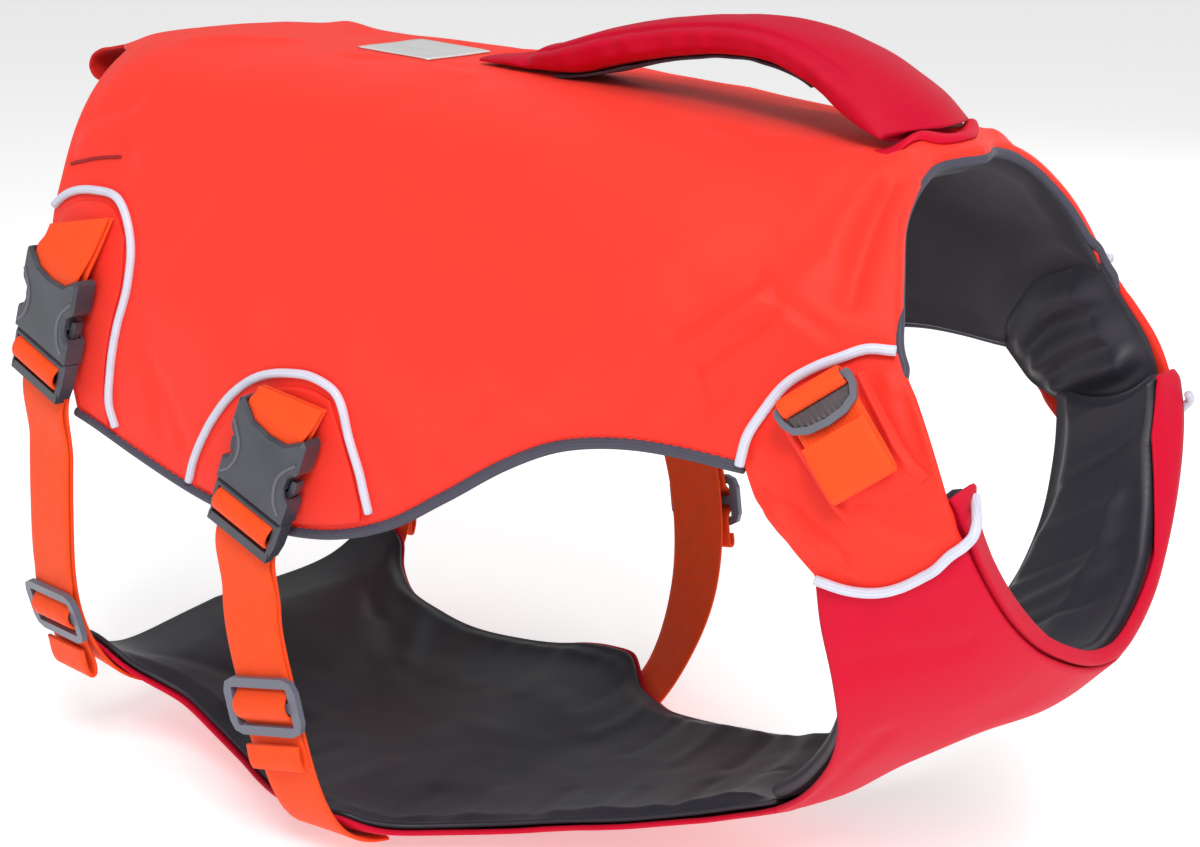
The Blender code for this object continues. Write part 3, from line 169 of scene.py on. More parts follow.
RUMP_LOOP = [(-160.15, 7.5), (-167, 6.6), (-175, 5.2), (-182.5, 3.8), (-187.2, 1.0),
             (-188.6, -2.8), (-186.6, -6.2), (-182, -7.4), (-177, -5.4), (-171, -0.6),
             (-165.5, 3.2), (-160.0, 5.2)]             # x, height on the spine
LABEL_PLACE = (-40, -8, 17)         # x from, x to, half width

# Shoulder adjuster for 20 mm webbing: its top middle and a place below that, its rim,
# hole and cross plate as half outlines across and down, and the folded tab as down, up
ADJUSTER = {"top": (185.9, 111.6), "bottom": (205.7, 130.7)}
CHANNEL = ([-15.4, -13.4, -11.2, -4, 4, 11.2, 13.4, 15.4], 13.4, 31)   # across, welt, length
LOCK_RIM = [(0, 0.9), (11.7, 0.9), (12.4, 2.6), (12.0, 6.0), (10.2, 9.4), (6, 11.4), (0, 12.0)]
LOCK_HOLE = [(0, 2.9), (10.4, 2.9), (10.5, 4.8), (9.3, 7.6), (5.3, 9.4), (0, 9.9)]
LOCK_PLATE = [(0, 5.4), (10.8, 5.4), (9.7, 7.8), (5.5, 9.7), (0, 10.3)]
TAB_FOLD = [(7.9, 0.9), (18, 0.9), (27.4, 1.0), (30, 1.8), (30.8, 3.4), (29.8, 5.0), (27.4, 5.4),
            (14.2, 5.2)]


# Buckles, sliders and locks: origin, down and outward directions of each
PLACES = {
    # name                origin (mm)               down                       outward
    "ladder_lock_R": ((186.85, -89.77, -59.16), (0.6077, -0.0336, -0.7934), (0.2134, -0.9554, 0.2039)),
    "ladder_lock_L": ((186.84, 89.74, -59.16), (0.6077, 0.0336, -0.7934), (0.2134, 0.9554, 0.2039)),
    "rear_buckle_R": ((-101.82, -99.22, -56.68), (-0.3445, 0.0014, -0.9388), (-0.102, -0.9941, 0.0359)),
    "rear_buckle_L": ((-101.81, 99.21, -56.68), (-0.3276, 0.0011, -0.9448), (-0.1007, 0.9943, 0.036)),
    "mid_buckle_R": ((3.05, -102.39, -94.1), (-0.4086, -0.0081, -0.9127), (0.0193, -0.9998, 0.0003)),
    "mid_buckle_L": ((2.09, 102.58, -94.53), (0.3476, -0.0113, -0.9376), (0.0338, 0.9994, 0.0005)),
    "rear_slider_R": ((-129.99, -90.73, -193.95), (0.0494, 0.2236, -0.9734), (-0.1534, -0.9613, -0.2287)),
    "rear_slider_L": ((-129.0, 91.78, -189.67), (-0.003, -0.1856, -0.9826), (-0.1495, 0.9717, -0.1831)),
    "mid_slider_R": ((-13.01, -99.99, -199.99), (0.2105, 0.0261, -0.9772), (0.0111, -0.9996, -0.0243)),
    "mid_slider_L": ((29.62, 100.49, -174.23), (0.1519, -0.048, -0.9872), (0.0795, 0.9962, -0.0363))}
SOCKET_FOLD = [(1, 2.8), (4, 2.8), (7, 2.8), (9.4, 2.8), (10.7, 3.2), (11.35, 4.6), (10.7, 6.0),
               (9.4, 6.4), (7, 6.4), (4, 6.4), (1, 6.4)]
TONGUE_FOLD = [(52, 0.9), (42, 1.0), (38.3, 1.4), (36.6, 2.8), (36.5, 5.0), (37.3, 6.9),
               (39.2, 7.6), (41.9, 7.0), (44, 4.6), (45.4, 3.2), (48, 2.85), (54, 2.85)]
SLIDER_PASS = [(-8.4, 3.45), (-6.8, 3.6), (-4.5, 5.3), (-2.9, 7.1), (-1.2, 8.0), (1.2, 8.0),
               (2.9, 7.1), (4.5, 5.3), (6.8, 3.6), (8.4, 3.45)]
INNER_OUT, OUTER_OUT = 1.7, 3.45

# Finer creases in the cloth, as FOLDS: the back panel's, then the other panels'
CREASES = [
    # x0   drop0   x1   drop1  height  half width
    (-112,  99.5, -90,   97,      1.8,   3.0),
    (-116,  88,   -92,   82,    -1.7,   4.0),
    (146,  116,   166,   93,      2.2,   2.4),
    (150,  119,   170,   97,    -2.0,   2.2),
    (142,  112,   163,   89,    -1.8,   2.8),
    (147,  116,   152,  126,    -2.2,   2.4),
    (168,   92,   188,   98,    -1.7,   2.2),
    (170,   96,   186,  101,      1.5,   2.6),
    (184,   44,   189,   86,    -2.4,   3.0),
    (178,   30,   181,   74,      1.8,   4.0),
    (176,   26,   170,   90,    -1.4,   5.0),
    (150,  134,   161,  121,    -1.7,   3.0),
    (138,  142,   147,  120,      1.5,   4.0),
    (128,  146,   136,  126,    -1.0,   4.5),
    (120,   30,   165,   60,    -1.2,   6.0),
    (-60,  150,   -30,  110,      1.4,   7.0),
    (-20,  150,    20,   60,    -1.2,   9.0),
    (40,   150,    80,   70,      1.2,  10.0),
    (-66,  170,   -62,  196,    -1.4,   4.0),
    (-98,   40,   -70,   20,      1.4,   6.0),
    (-30,   30,     6,   18,    -1.4,   5.0),
    (-10,   24,    20,   34,      1.2,   6.0),
    (-60,  178,   -52,  196,    -1.4,   3.5),
    (64,   172,    80,  150,    -1.4,   5.0),
    (36,   176,    46,  196,      1.0,   4.0),
    (100,  148,   112,  128,      1.2,   5.0),
    (176,    0,   184,   34,      2.4,   4.5)]


# ---------------------------------------------------------------- the form
def smooth_row(stations, values, x):
    """A smooth curve through (stations, values), read at x."""
    x = np.clip(x, stations[0], stations[-1])
    i = np.clip(np.searchsorted(stations, x, side="right") - 1, 0, len(stations) - 2)
    slope = np.gradient(values, stations)
    step = stations[i + 1] - stations[i]
    t = (x - stations[i]) / step
    return ((1 + 2 * t) * (1 - t) ** 2 * values[i] + t * (1 - t) ** 2 * step * slope[i]
            + t * t * (3 - 2 * t) * values[i + 1] + t * t * (t - 1) * step * slope[i + 1])



def section_table(stations, shares):
    """y, z for each station and share of the way from spine to keel, and each half girth.

    A section is a superellipse: its radius at angle a is (|sin a|^n + |cos a|^n)^(-1/n),
    stretched to the half width across and to the top or keel up and down.
    """
    turn = np.linspace(0, np.pi, 721)
    top, keel, half, widest, upper, lower = (
        smooth_row(SECTIONS[:, 0], SECTIONS[:, k], stations)[:, None] for k in range(1, 7))
    across, up = np.sin(turn)[None], np.cos(turn)[None]
    power = np.where(up >= 0, upper, lower)
    size = (np.abs(across) ** power + np.abs(up) ** power) ** (-1 / power)
    y = half * size * across
    z = widest + np.where(up >= 0, top - widest, widest - keel) * size * up
    steps = np.hypot(np.diff(y, axis=1), np.diff(z, axis=1))
    down = np.concatenate([np.zeros((len(stations), 1)), np.cumsum(steps, axis=1)], axis=1)
    girth = down[:, -1]
    way = np.abs(((shares + 1) % 2) - 1)                 # beyond both ends it comes back
    sign = np.where((shares < 0) | (shares > 1), -1.0, 1.0)
    rows = [[np.interp(way * g, d, v) for v in (yy, zz)]
            for g, d, yy, zz in zip(girth, down, y, z)]
    return np.array(rows).transpose(0, 2, 1) * np.stack([sign, np.ones_like(sign)], axis=-1), girth


STATIONS = np.arange(-184.0, 260.0, 1.0)
SHARES = np.arange(-3, 364) / 360.0
SECTION, GIRTH = section_table(STATIONS, SHARES)


def cubic_weights(t):
    return np.stack([-t + 2 * t ** 2 - t ** 3, 2 - 5 * t ** 2 + 3 * t ** 3,
                     t + 4 * t ** 2 - 3 * t ** 3, t ** 3 - t ** 2], axis=0) / 2


def half_girth(x):
    return np.interp(x, STATIONS, GIRTH)


def form_point(x, drop):
    """Points of the form in mm, by bicubic reading of the section table."""
    x, drop = np.broadcast_arrays(np.asarray(x, float), np.asarray(drop, float))
    i = np.clip(x - STATIONS[0], 1, len(STATIONS) - 3)
    j = np.clip((np.abs(drop) / half_girth(x) - SHARES[0]) * 360, 1, len(SHARES) - 3)
    i0, j0 = np.floor(i).astype(int), np.floor(j).astype(int)
    wi, wj = cubic_weights(i - i0), cubic_weights(j - j0)
    total = 0.0
    for a in range(4):
        for b in range(4):
            total = total + SECTION[i0 + a - 1, j0 + b - 1] * (wi[a] * wj[b])[..., None]
    return np.stack([x, np.where(drop < 0, -total[..., 0], total[..., 0]), total[..., 1]], axis=-1)


def unit(v):
    return v / np.maximum(np.linalg.norm(v, axis=-1, keepdims=True), 1e-12)


def form_normal(x, drop):
    """The direction out of the form."""
    h = 1.5
    along_x = form_point(x + h, drop) - form_point(x - h, drop)
    down = form_point(x, drop + h) - form_point(x, drop - h)
    return unit(np.cross(along_x, down))


def place(x, drop, out=0.0):
    return form_point(x, drop) + form_normal(x, drop) * np.asarray(out, float)[..., None]


def ease(t):
    t = np.clip(t, 0, 1)
    return t * t * (3 - 2 * t)


# ---------------------------------------------------------------- outlines
def along(points, count):
    """count + 1 places along a smooth line through the points."""
    return at_shares(points, np.linspace(0, 1, count + 1))


def at_shares(points, shares):
    points = np.array(points, float)
    length = np.concatenate([[0], np.cumsum(np.linalg.norm(np.diff(points, axis=0), axis=1))])
    t = np.asarray(shares) * length[-1]
    if len(points) < 3:
        columns = [np.interp(t, length, column) for column in points.T]
    else:
        columns = [smooth_row(length, column, t) for column in points.T]
    return np.stack(columns, axis=-1)


def patch(first, last, start, end, u=None, v=None):
    """A grid between four lines: first and last run along it, start and end across it."""
    u = (np.linspace(0, 1, len(first)) if u is None else np.asarray(u))[:, None, None]
    v = (np.linspace(0, 1, len(start)) if v is None else np.asarray(v))[None, :, None]
    corners = ((1 - u) * (1 - v) * first[0] + u * (1 - v) * first[-1]
               + (1 - u) * v * last[0] + u * v * last[-1])
    return ((1 - v) * first[:, None] + v * last[:, None]
            + (1 - u) * start[None] + u * end[None] - corners)


def moved_out(line, distance, count=60):
    """A line moved sideways, to the side of growing drop when it runs to growing x."""
    places = along(line, count)
    run = unit(np.gradient(places, axis=0))
    return places + np.stack([-run[:, 1], run[:, 0]], axis=-1) * distance


def edge_distance(x, drop, lines):
    """How far each place is from the nearest of some outlines."""
    marks = np.concatenate([along(line, 80) for line in lines])
    gaps = np.stack([x, np.abs(drop)], axis=-1).reshape(-1, 1, 2) - marks[None]
    return np.hypot(gaps[..., 0], gaps[..., 1]).min(axis=1).reshape(x.shape)


def both_sides(half):
    """A half grid from the middle line outwards, doubled to run from right to left."""
    right = half[:, :0:-1].copy()
    right[..., 1] *= -1
    return np.concatenate([right, half], axis=1)


def to_drop(places):
    """Places given by x and reach, as x and drop."""
    result = np.array(places, float)
    girth = half_girth(result[..., 0].reshape(-1)).reshape(result.shape[:-1])
    left = result[..., 1] >= 0
    result[..., 1] = np.where(left, girth - result[..., 1], -girth - result[..., 1])
    return result



def ridges(table, x, drop):
    """Height of soft folds: each is a ridge, or a trough, with rounded ends."""
    total = np.zeros(np.shape(x))
    for x0, d0, x1, d1, height, width in table:
        run = np.array([x1 - x0, d1 - d0], float)
        t = np.clip(((x - x0) * run[0] + (np.abs(drop) - d0) * run[1]) / (run @ run), 0, 1)
        away = np.hypot(x - x0 - t * run[0], np.abs(drop) - d0 - t * run[1])
        total += height * np.exp(-(away / width) ** 2)
    return total


NOISE = np.random.default_rng(7).uniform(-1, 1, (64, 64))


def ripple(x, y, size, seed=0):
    """Smooth noise between -1 and 1 over places x, y, with bumps of about this size."""
    u, v = x / size + 17.3 * seed, y / size + 5.7 * seed
    i, j = np.floor(u).astype(int), np.floor(v).astype(int)
    s, t = u - i, v - j
    s, t = s * s * (3 - 2 * s), t * t * (3 - 2 * t)
    corner = lambda a, b: NOISE[(i + a) % 64, (j + b) % 64]
    return ((corner(0, 0) * (1 - s) + corner(1, 0) * s) * (1 - t)
            + (corner(0, 1) * (1 - s) + corner(1, 1) * s) * t)


def slack(x, y, seed=0):
    """The unevenness of cloth over foam: a broad and a finer ripple."""
    return (ripple(x, y, 34, seed) + 0.45 * ripple(x + 0.4 * y, y - 0.4 * x, 15, seed + 1)
            + 0.16 * ripple(x, y, 7, seed + 2))


# ---------------------------------------------------------------- materials
def node_group(name, inputs, outputs):
    """A shader node group with named inputs (name, kind, value) and outputs (name, kind)."""
    tree = bpy.data.node_groups.new(name, "ShaderNodeTree")
    for label, kind, value in inputs:
        socket = tree.interface.new_socket(label, in_out="INPUT", socket_type="NodeSocket" + kind)
        if value is not None:
            socket.default_value = value
    for label, kind in outputs:
        tree.interface.new_socket(label, in_out="OUTPUT", socket_type="NodeSocket" + kind)
    return tree, tree.nodes.new("NodeGroupInput").outputs, tree.nodes.new("NodeGroupOutput").inputs


def wire(tree, value, socket):
    if isinstance(value, bpy.types.NodeSocket):
        tree.links.new(value, socket)
    else:
        socket.default_value = value


def calc(tree, operation, *values):
    node = tree.nodes.new("ShaderNodeMath")
    node.operation = operation
    for value, socket in zip(values, node.inputs):
        wire(tree, value, socket)
    return node.outputs[0]


def blend_colour(tree, share, a, b, kind="MIX"):
    node = tree.nodes.new("ShaderNodeMix")
    node.data_type, node.blend_type = "RGBA", kind
    for value, socket in ((share, node.inputs[0]), (a, node.inputs[6]), (b, node.inputs[7])):
        wire(tree, value, socket)
    return node.outputs[2]


def remap(tree, value, low, high, out_low, out_high):
    node = tree.nodes.new("ShaderNodeMapRange")
    for v, socket in zip((value, low, high, out_low, out_high), node.inputs):
        wire(tree, v, socket)
    return node.outputs[0]


def noise(tree, vector, scale, detail=2.0):
    node = tree.nodes.new("ShaderNodeTexNoise")
    wire(tree, vector, node.inputs["Vector"])
    wire(tree, scale, node.inputs["Scale"])
    node.inputs["Detail"].default_value = detail
    return node.outputs["Fac"]


def parts_of(tree, vector):
    node = tree.nodes.new("ShaderNodeSeparateXYZ")
    wire(tree, vector, node.inputs[0])
    return node.outputs


def thread(tree, place, pitch):
    """A row of round threads across a direction: |sin| of the way along it."""
    return calc(tree, "ABSOLUTE", calc(tree, "SINE", calc(tree, "MULTIPLY", place, math.pi / pitch)))


def make_cloth_group():
    """Woven cloth: threads both ways, broad and fine mottling, and painted shade that leaves the threads
    paler where they stand proud and darker in the gaps between them.
    """
    tree, given, result = node_group("woven_cloth", [
        ("Place", "Vector", None), ("Colour", "Color", (1, 0, 0, 1)), ("Mottle", "Float", 0.1),
        ("Roughness", "Float", 0.7)], [("Colour", "Color"), ("Roughness", "Float"),
                                       ("Height", "Float")])
    u, v, _ = parts_of(tree, given["Place"])
    weave = calc(tree, "MULTIPLY", thread(tree, u, 0.00055), thread(tree, v, 0.00055))
    broad, fine = noise(tree, given["Place"], 26.0), noise(tree, given["Place"], 900.0)
    tone = calc(tree, "ADD", calc(tree, "MULTIPLY", broad, 0.7), calc(tree, "MULTIPLY", fine, 0.3))
    shade = calc(tree, "MULTIPLY_ADD", calc(tree, "SUBTRACT", tone, 0.5), given["Mottle"], 1.0)
    # Painted shade: the colour is darkened in the gaps between threads and kept full on their crowns.
    shade = calc(tree, "MULTIPLY", shade, remap(tree, weave, 0.0, 1.0, 0.95, 1.02))
    paint = tree.nodes.new("ShaderNodeVectorMath")
    paint.operation = "SCALE"
    wire(tree, given["Colour"], paint.inputs[0])
    wire(tree, shade, paint.inputs["Scale"])
    wire(tree, paint.outputs[0], result["Colour"])
    wire(tree, calc(tree, "ADD", given["Roughness"], remap(tree, broad, 0.3, 0.7, -0.05, 0.05)),
         result["Roughness"])
    wire(tree, calc(tree, "ADD", weave, calc(tree, "MULTIPLY", fine, 0.6)), result["Height"])
    return tree


def make_webbing_group():
    """Flat webbing: ribs along it, weft lines across it."""
    tree, given, result = node_group("flat_webbing", [
        ("Place", "Vector", None), ("Colour", "Color", (1, 0, 0, 1)), ("Pitch", "Float", 0.0016)],
        [("Colour", "Color"), ("Roughness", "Float"), ("Height", "Float")])
    u, v, _ = parts_of(tree, given["Place"])
    rib = calc(tree, "ABSOLUTE", calc(tree, "SINE", calc(
        tree, "MULTIPLY", calc(tree, "DIVIDE", u, given["Pitch"]), math.pi)))
    weft = thread(tree, v, 0.00095)
    height = calc(tree, "MULTIPLY", rib, remap(tree, weft, 0.0, 1.0, 0.75, 1.0))
    # Painted shade: the colour is darker in the grooves between ribs and weft threads and fullest on
    # their crowns.
    shade = remap(tree, height, 0.0, 1.0, 0.86, 1.03)
    shade = calc(tree, "MULTIPLY", shade, remap(tree, noise(tree, given["Place"], 160.0), 0.3, 0.7,
                                                0.96, 1.04))
    paint = tree.nodes.new("ShaderNodeVectorMath")
    paint.operation = "SCALE"
    wire(tree, given["Colour"], paint.inputs[0])
    wire(tree, shade, paint.inputs["Scale"])
    wire(tree, paint.outputs[0], result["Colour"])
    wire(tree, remap(tree, rib, 0.0, 1.0, 0.75, 0.6), result["Roughness"])
    wire(tree, height, result["Height"])
    return tree


def make_plastic_group():
    """Moulded plastic: a fine grain, and a duller and paler bloom in patches."""
    tree, given, result = node_group("moulded_plastic", [
        ("Colour", "Color", (0.1, 0.1, 0.1, 1)), ("Roughness", "Float", 0.4)],
        [("Colour", "Color"), ("Roughness", "Float"), ("Height", "Float")])
    coords = tree.nodes.new("ShaderNodeTexCoord").outputs["Object"]
    grain, bloom = noise(tree, coords, 1500.0), noise(tree, coords, 70.0)
    wire(tree, blend_colour(tree, remap(tree, bloom, 0.35, 0.75, 0.0, 0.16), given["Colour"],
                            (0.2, 0.21, 0.26, 1)), result["Colour"])
    wire(tree, calc(tree, "ADD", given["Roughness"], remap(tree, bloom, 0.3, 0.7, -0.06, 0.08)),
         result["Roughness"])
    wire(tree, grain, result["Height"])
    return tree


GROUPS = {"cloth": make_cloth_group(), "webbing": make_webbing_group(),
          "plastic": make_plastic_group()}


def material(name, kind, colour, bump, sheen=0.0, coat=0.0, specular=0.5, metallic=0.0, **inputs):
    """A Principled material fed by one of the groups, through the piece's own UV map."""
    mat = bpy.data.materials.new(name)
    mat.use_nodes = True
    tree = mat.node_tree
    shader = tree.nodes["Principled BSDF"]
    group = tree.nodes.new("ShaderNodeGroup")
    group.node_tree = GROUPS[kind]
    group.inputs["Colour"].default_value = (*colour, 1)
    for label, value in inputs.items():
        group.inputs[label].default_value = value
    if kind != "plastic":
        uv = tree.nodes.new("ShaderNodeUVMap")
        uv.uv_map = "cloth"
        wire(tree, uv.outputs[0], group.inputs["Place"])
    wire(tree, group.outputs["Colour"], shader.inputs["Base Color"])
    wire(tree, group.outputs["Roughness"], shader.inputs["Roughness"])
    lift = tree.nodes.new("ShaderNodeBump")
    lift.inputs["Strength"].default_value = 1.0
    lift.inputs["Distance"].default_value = bump * MM
    wire(tree, group.outputs["Height"], lift.inputs["Height"])
    wire(tree, lift.outputs[0], shader.inputs["Normal"])
    shader.inputs["Sheen Weight"].default_value = sheen
    shader.inputs["Sheen Roughness"].default_value = 0.45
    shader.inputs["Sheen Tint"].default_value = (*[min(1.0, 0.55 + 0.6 * c) for c in colour], 1)
    shader.inputs["Coat Weight"].default_value = coat
    shader.inputs["Specular IOR Level"].default_value = specular
    shader.inputs["Metallic"].default_value = metallic
    return mat


SHELL_RED = material("shell_red", "cloth", (0.93, 0.036, 0.020), 0.03, sheen=0.10, specular=0.22,
                     Mottle=0.10, Roughness=0.6)
CRIMSON = material("crimson", "cloth", (0.62, 0.001, 0.026), 0.03, sheen=0.05, specular=0.14,
                   Mottle=0.12, Roughness=0.62)
LINING = material("lining_grey", "cloth", (0.026, 0.024, 0.034), 0.03, sheen=0.10, specular=0.4,
                  Mottle=0.2, Roughness=0.45)
BINDING_GREY = material("binding_grey", "webbing", (0.065, 0.062, 0.09), 0.04, sheen=0.1,
                        specular=0.3, Pitch=0.0011)
WEB_ORANGE = material("web_orange", "webbing", (0.93, 0.075, 0.010), 0.035, sheen=0.1,
                      specular=0.2, Pitch=0.0011)
WEB_DARK = material("web_lower", "webbing", (0.55, 0.012, 0.008), 0.04, sheen=0.05,
                    specular=0.2, Pitch=0.0011)
REFLECTIVE = material("reflective", "webbing", (0.62, 0.64, 0.76), 0.02, sheen=0.2, coat=0.2,
                      Pitch=0.0011)
BUCKLE = material("buckle_grey", "plastic", (0.030, 0.033, 0.045), 0.015, coat=0.1, Roughness=0.36)
# The ridges round the buckles' side openings are paler than the buckle itself: a painted highlight along
# their crests.
RIDGE_HIGHLIGHT = material("buckle_ridge_highlight", "plastic", (0.085, 0.09, 0.115), 0.015, coat=0.2, Roughness=0.34)
SLIDER = material("slider_grey", "plastic", (0.12, 0.13, 0.175), 0.015, coat=0.15, Roughness=0.36)
LOCK = material("lock_grey", "plastic", (0.12, 0.125, 0.155), 0.015, coat=0.15, Roughness=0.4)
PLATE = material("lock_plate_grey", "plastic", (0.065, 0.045, 0.048), 0.015, Roughness=0.5)
LABEL_PALE = material("label_pale", "plastic", (0.66, 0.67, 0.66), 0.02, coat=0.4, Roughness=0.35)
# Dark red for the tack in the rear crease: the stitching's own colour, darkened further as painted shade
# in the crease bottom.
TACK_AND_CREASE_SHADE_RED = material("tack_and_crease_shade_red", "cloth", (0.30, 0.006, 0.008), 0.01, Mottle=0.1, Roughness=0.7)
HANDLE_RED = material("crimson_handle", "cloth", (0.52, 0.0, 0.022), 0.03, sheen=0.05,
                      specular=0.14, Mottle=0.16, Roughness=0.6)
THREAD_RED = material("thread_red", "cloth", (0.72, 0.02, 0.015), 0.01, Mottle=0.1, Roughness=0.6)


# ---------------------------------------------------------------- meshes
def make_piece(name, verts, faces, face_uv, mat, stands_for=()):
    """A mesh piece: verts in mm, faces as index arrays, face_uv in mm for their corners."""
    mesh = bpy.data.meshes.new(name)
    rows = [row for block in faces for row in block.tolist()]
    mesh.from_pydata((verts * MM).tolist(), [], rows)
    uv = mesh.uv_layers.new(name="cloth")
    flat = np.concatenate([block.reshape(-1, 2) for block in face_uv]) * MM
    uv.data.foreach_set("uv", flat.reshape(-1).astype(np.float32))
    mesh.polygons.foreach_set("use_smooth", np.ones(len(mesh.polygons), bool))
    mesh.materials.append(mat)
    mesh.update()
    obj = bpy.data.objects.new(name, mesh)
    bpy.context.scene.collection.objects.link(obj)
    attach(obj, "root")
    if stands_for:
        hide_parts(*([stands_for] if isinstance(stands_for, str) else stands_for))
    return obj


def shell(name, points, outward, thick, mat, uv, stands_for=(), rim=0.45):
    """A closed wall of cloth, with a rounded rim.

    Its outside is the surface given as a grid of points, its inside lies thick
    behind it along the normal, and the rim bulges out by rim times thick.
    """
    n, m = points.shape[:2]
    normal = unit(np.cross(np.gradient(points, axis=0), np.gradient(points, axis=1)))
    flip = float((normal * outward).sum()) < 0
    normal = -normal if flip else normal
    thick = np.broadcast_to(np.asarray(thick, float), (n, m))
    inside = points - normal * thick[..., None]
    i = np.concatenate([np.zeros(m, int), np.arange(1, n), np.full(m - 1, n - 1),
                        np.arange(n - 2, 0, -1)])
    j = np.concatenate([np.arange(m), np.full(n - 1, m - 1), np.arange(m - 2, -1, -1),
                        np.zeros(n - 2, int)])
    away = unit(points[i, j] - points[np.clip(i, 1, n - 2), np.clip(j, 1, m - 2)])
    bulge = (points[i, j] + inside[i, j]) / 2 + away * (thick[i, j] * rim)[:, None]
    verts = np.concatenate([points.reshape(-1, 3), inside.reshape(-1, 3), bulge])
    index = np.arange(n * m).reshape(n, m)
    quads = np.stack([index[:-1, :-1], index[1:, :-1], index[1:, 1:], index[:-1, 1:]],
                     axis=-1).reshape(-1, 4)
    edge, count = index[i, j], len(i)
    edge2, mid = np.roll(edge, -1), 2 * n * m + np.arange(count)
    mid2 = np.roll(mid, -1)
    rims = [np.stack([edge, edge2, mid2, mid], axis=-1),
            np.stack([mid, mid2, edge2 + n * m, edge + n * m], axis=-1)]
    faces = [quads, quads[:, ::-1] + n * m] + rims
    if flip:
        faces = [f[:, ::-1] for f in faces]
    flat = np.concatenate([uv.reshape(-1, 2)] * 2 + [uv[i, j]])
    return make_piece(name, verts, faces, [flat[f] for f in faces], mat, stands_for)


def sweep(name, path, side, up, profile, mat, stands_for=()):
    """A profile carried along a path.

    Point k of the ring at step s is path + side * across(k) + up * height(k).
    """
    ring = (path[:, None] + side[:, None] * profile[None, :, :1]
            + up[:, None] * profile[None, :, 1:2])
    n, m = ring.shape[:2]
    verts = np.concatenate([ring.reshape(-1, 3), ring[[0, -1]].mean(axis=1)])
    index = np.arange(n * m).reshape(n, m)
    ahead = np.roll(index, -1, axis=1)
    quads = np.stack([index[:-1], ahead[:-1], ahead[1:], index[1:]], axis=-1).reshape(-1, 4)
    steps = np.linalg.norm(np.roll(profile, -1, axis=0) - profile, axis=1)
    round_ = np.concatenate([[0], np.cumsum(steps)]) - steps[:m // 4].sum()
    walk = np.concatenate([[0], np.cumsum(np.linalg.norm(np.diff(path, axis=0), axis=1))])
    u, v = np.broadcast_to(round_[None], (n, m + 1)), np.broadcast_to(walk[:, None], (n, m + 1))
    grid = np.stack([u, v], axis=-1)
    quad_uv = np.stack([grid[:-1, :-1], grid[:-1, 1:], grid[1:, 1:], grid[1:, :-1]],
                       axis=2).reshape(-1, 4, 2)
    caps = [np.stack([ahead[0], index[0], np.full(m, n * m)], axis=-1),
            np.stack([index[-1], ahead[-1], np.full(m, n * m + 1)], axis=-1)]
    flat = np.stack([profile[:, 0], profile[:, 1]], axis=-1)
    ends = np.stack([np.roll(flat, -1, axis=0), flat, flat * 0], axis=1)
    faces, uvs = [quads] + caps, [quad_uv, ends, ends[:, [1, 0, 2]]]
    tilt = np.cross(side[0], up[0]) @ (path[1] - path[0])
    turn = np.cross(np.append(profile[0], 0), np.append(profile[m // 4], 0))[2]
    if tilt * turn < 0:
        faces, uvs = [f[:, ::-1] for f in faces], [q[:, ::-1] for q in uvs]
    return make_piece(name, verts, faces, uvs, mat, stands_for)


def oval(across, high, count=14):
    turn = np.linspace(0, 2 * np.pi, count, endpoint=False)
    return np.stack([across * np.cos(turn), high * np.sin(turn)], axis=-1)


def flat_strip(width, thick, count=9):
    """Profile of webbing: a flat strip with round edges."""
    x = np.linspace(1, -1, count) * (width / 2 - thick * 0.4)
    top = np.stack([x, np.full(count, thick / 2)], axis=-1)
    edge = [(-width / 2 + 0.05, thick * 0.28), (-width / 2, 0.0), (-width / 2 + 0.05, -thick * 0.28)]
    edge = np.array(edge)
    return np.concatenate([top, edge, -top, -edge])


def cord(name, path, outward, across, high, mat, stands_for=()):
    run = unit(np.gradient(path, axis=0))
    side = unit(np.cross(run, outward))
    return sweep(name, path, side, unit(np.cross(side, run)), oval(across, high), mat,
                 stands_for)


def webbing(name, path, width_way, mat, stands_for=(), edge=None, slant_run=1.0,
            width=WEB_WIDTH, thick=WEB):
    """Flat webbing along a path, with both ends cut along edge if it is given."""
    run = unit(np.gradient(path, axis=0))
    width_way = np.broadcast_to(width_way, path.shape)
    side = unit(width_way - (width_way * run).sum(-1, keepdims=True) * run)
    up = unit(np.cross(run, side))
    walk = np.concatenate([[0], np.cumsum(np.linalg.norm(np.diff(path, axis=0), axis=1))])
    if edge is not None:
        for k, gone in ((0, walk), (-1, walk[-1] - walk)):
            flat = edge - (edge @ up[k]) * up[k]
            slant = flat / (flat @ side[k]) - side[k]
            side = side + slant * np.clip(1 - gone / slant_run, 0, 1)[:, None]
    strip = sweep(name, path, side, up, flat_strip(width, thick), mat, stands_for)
    return strip


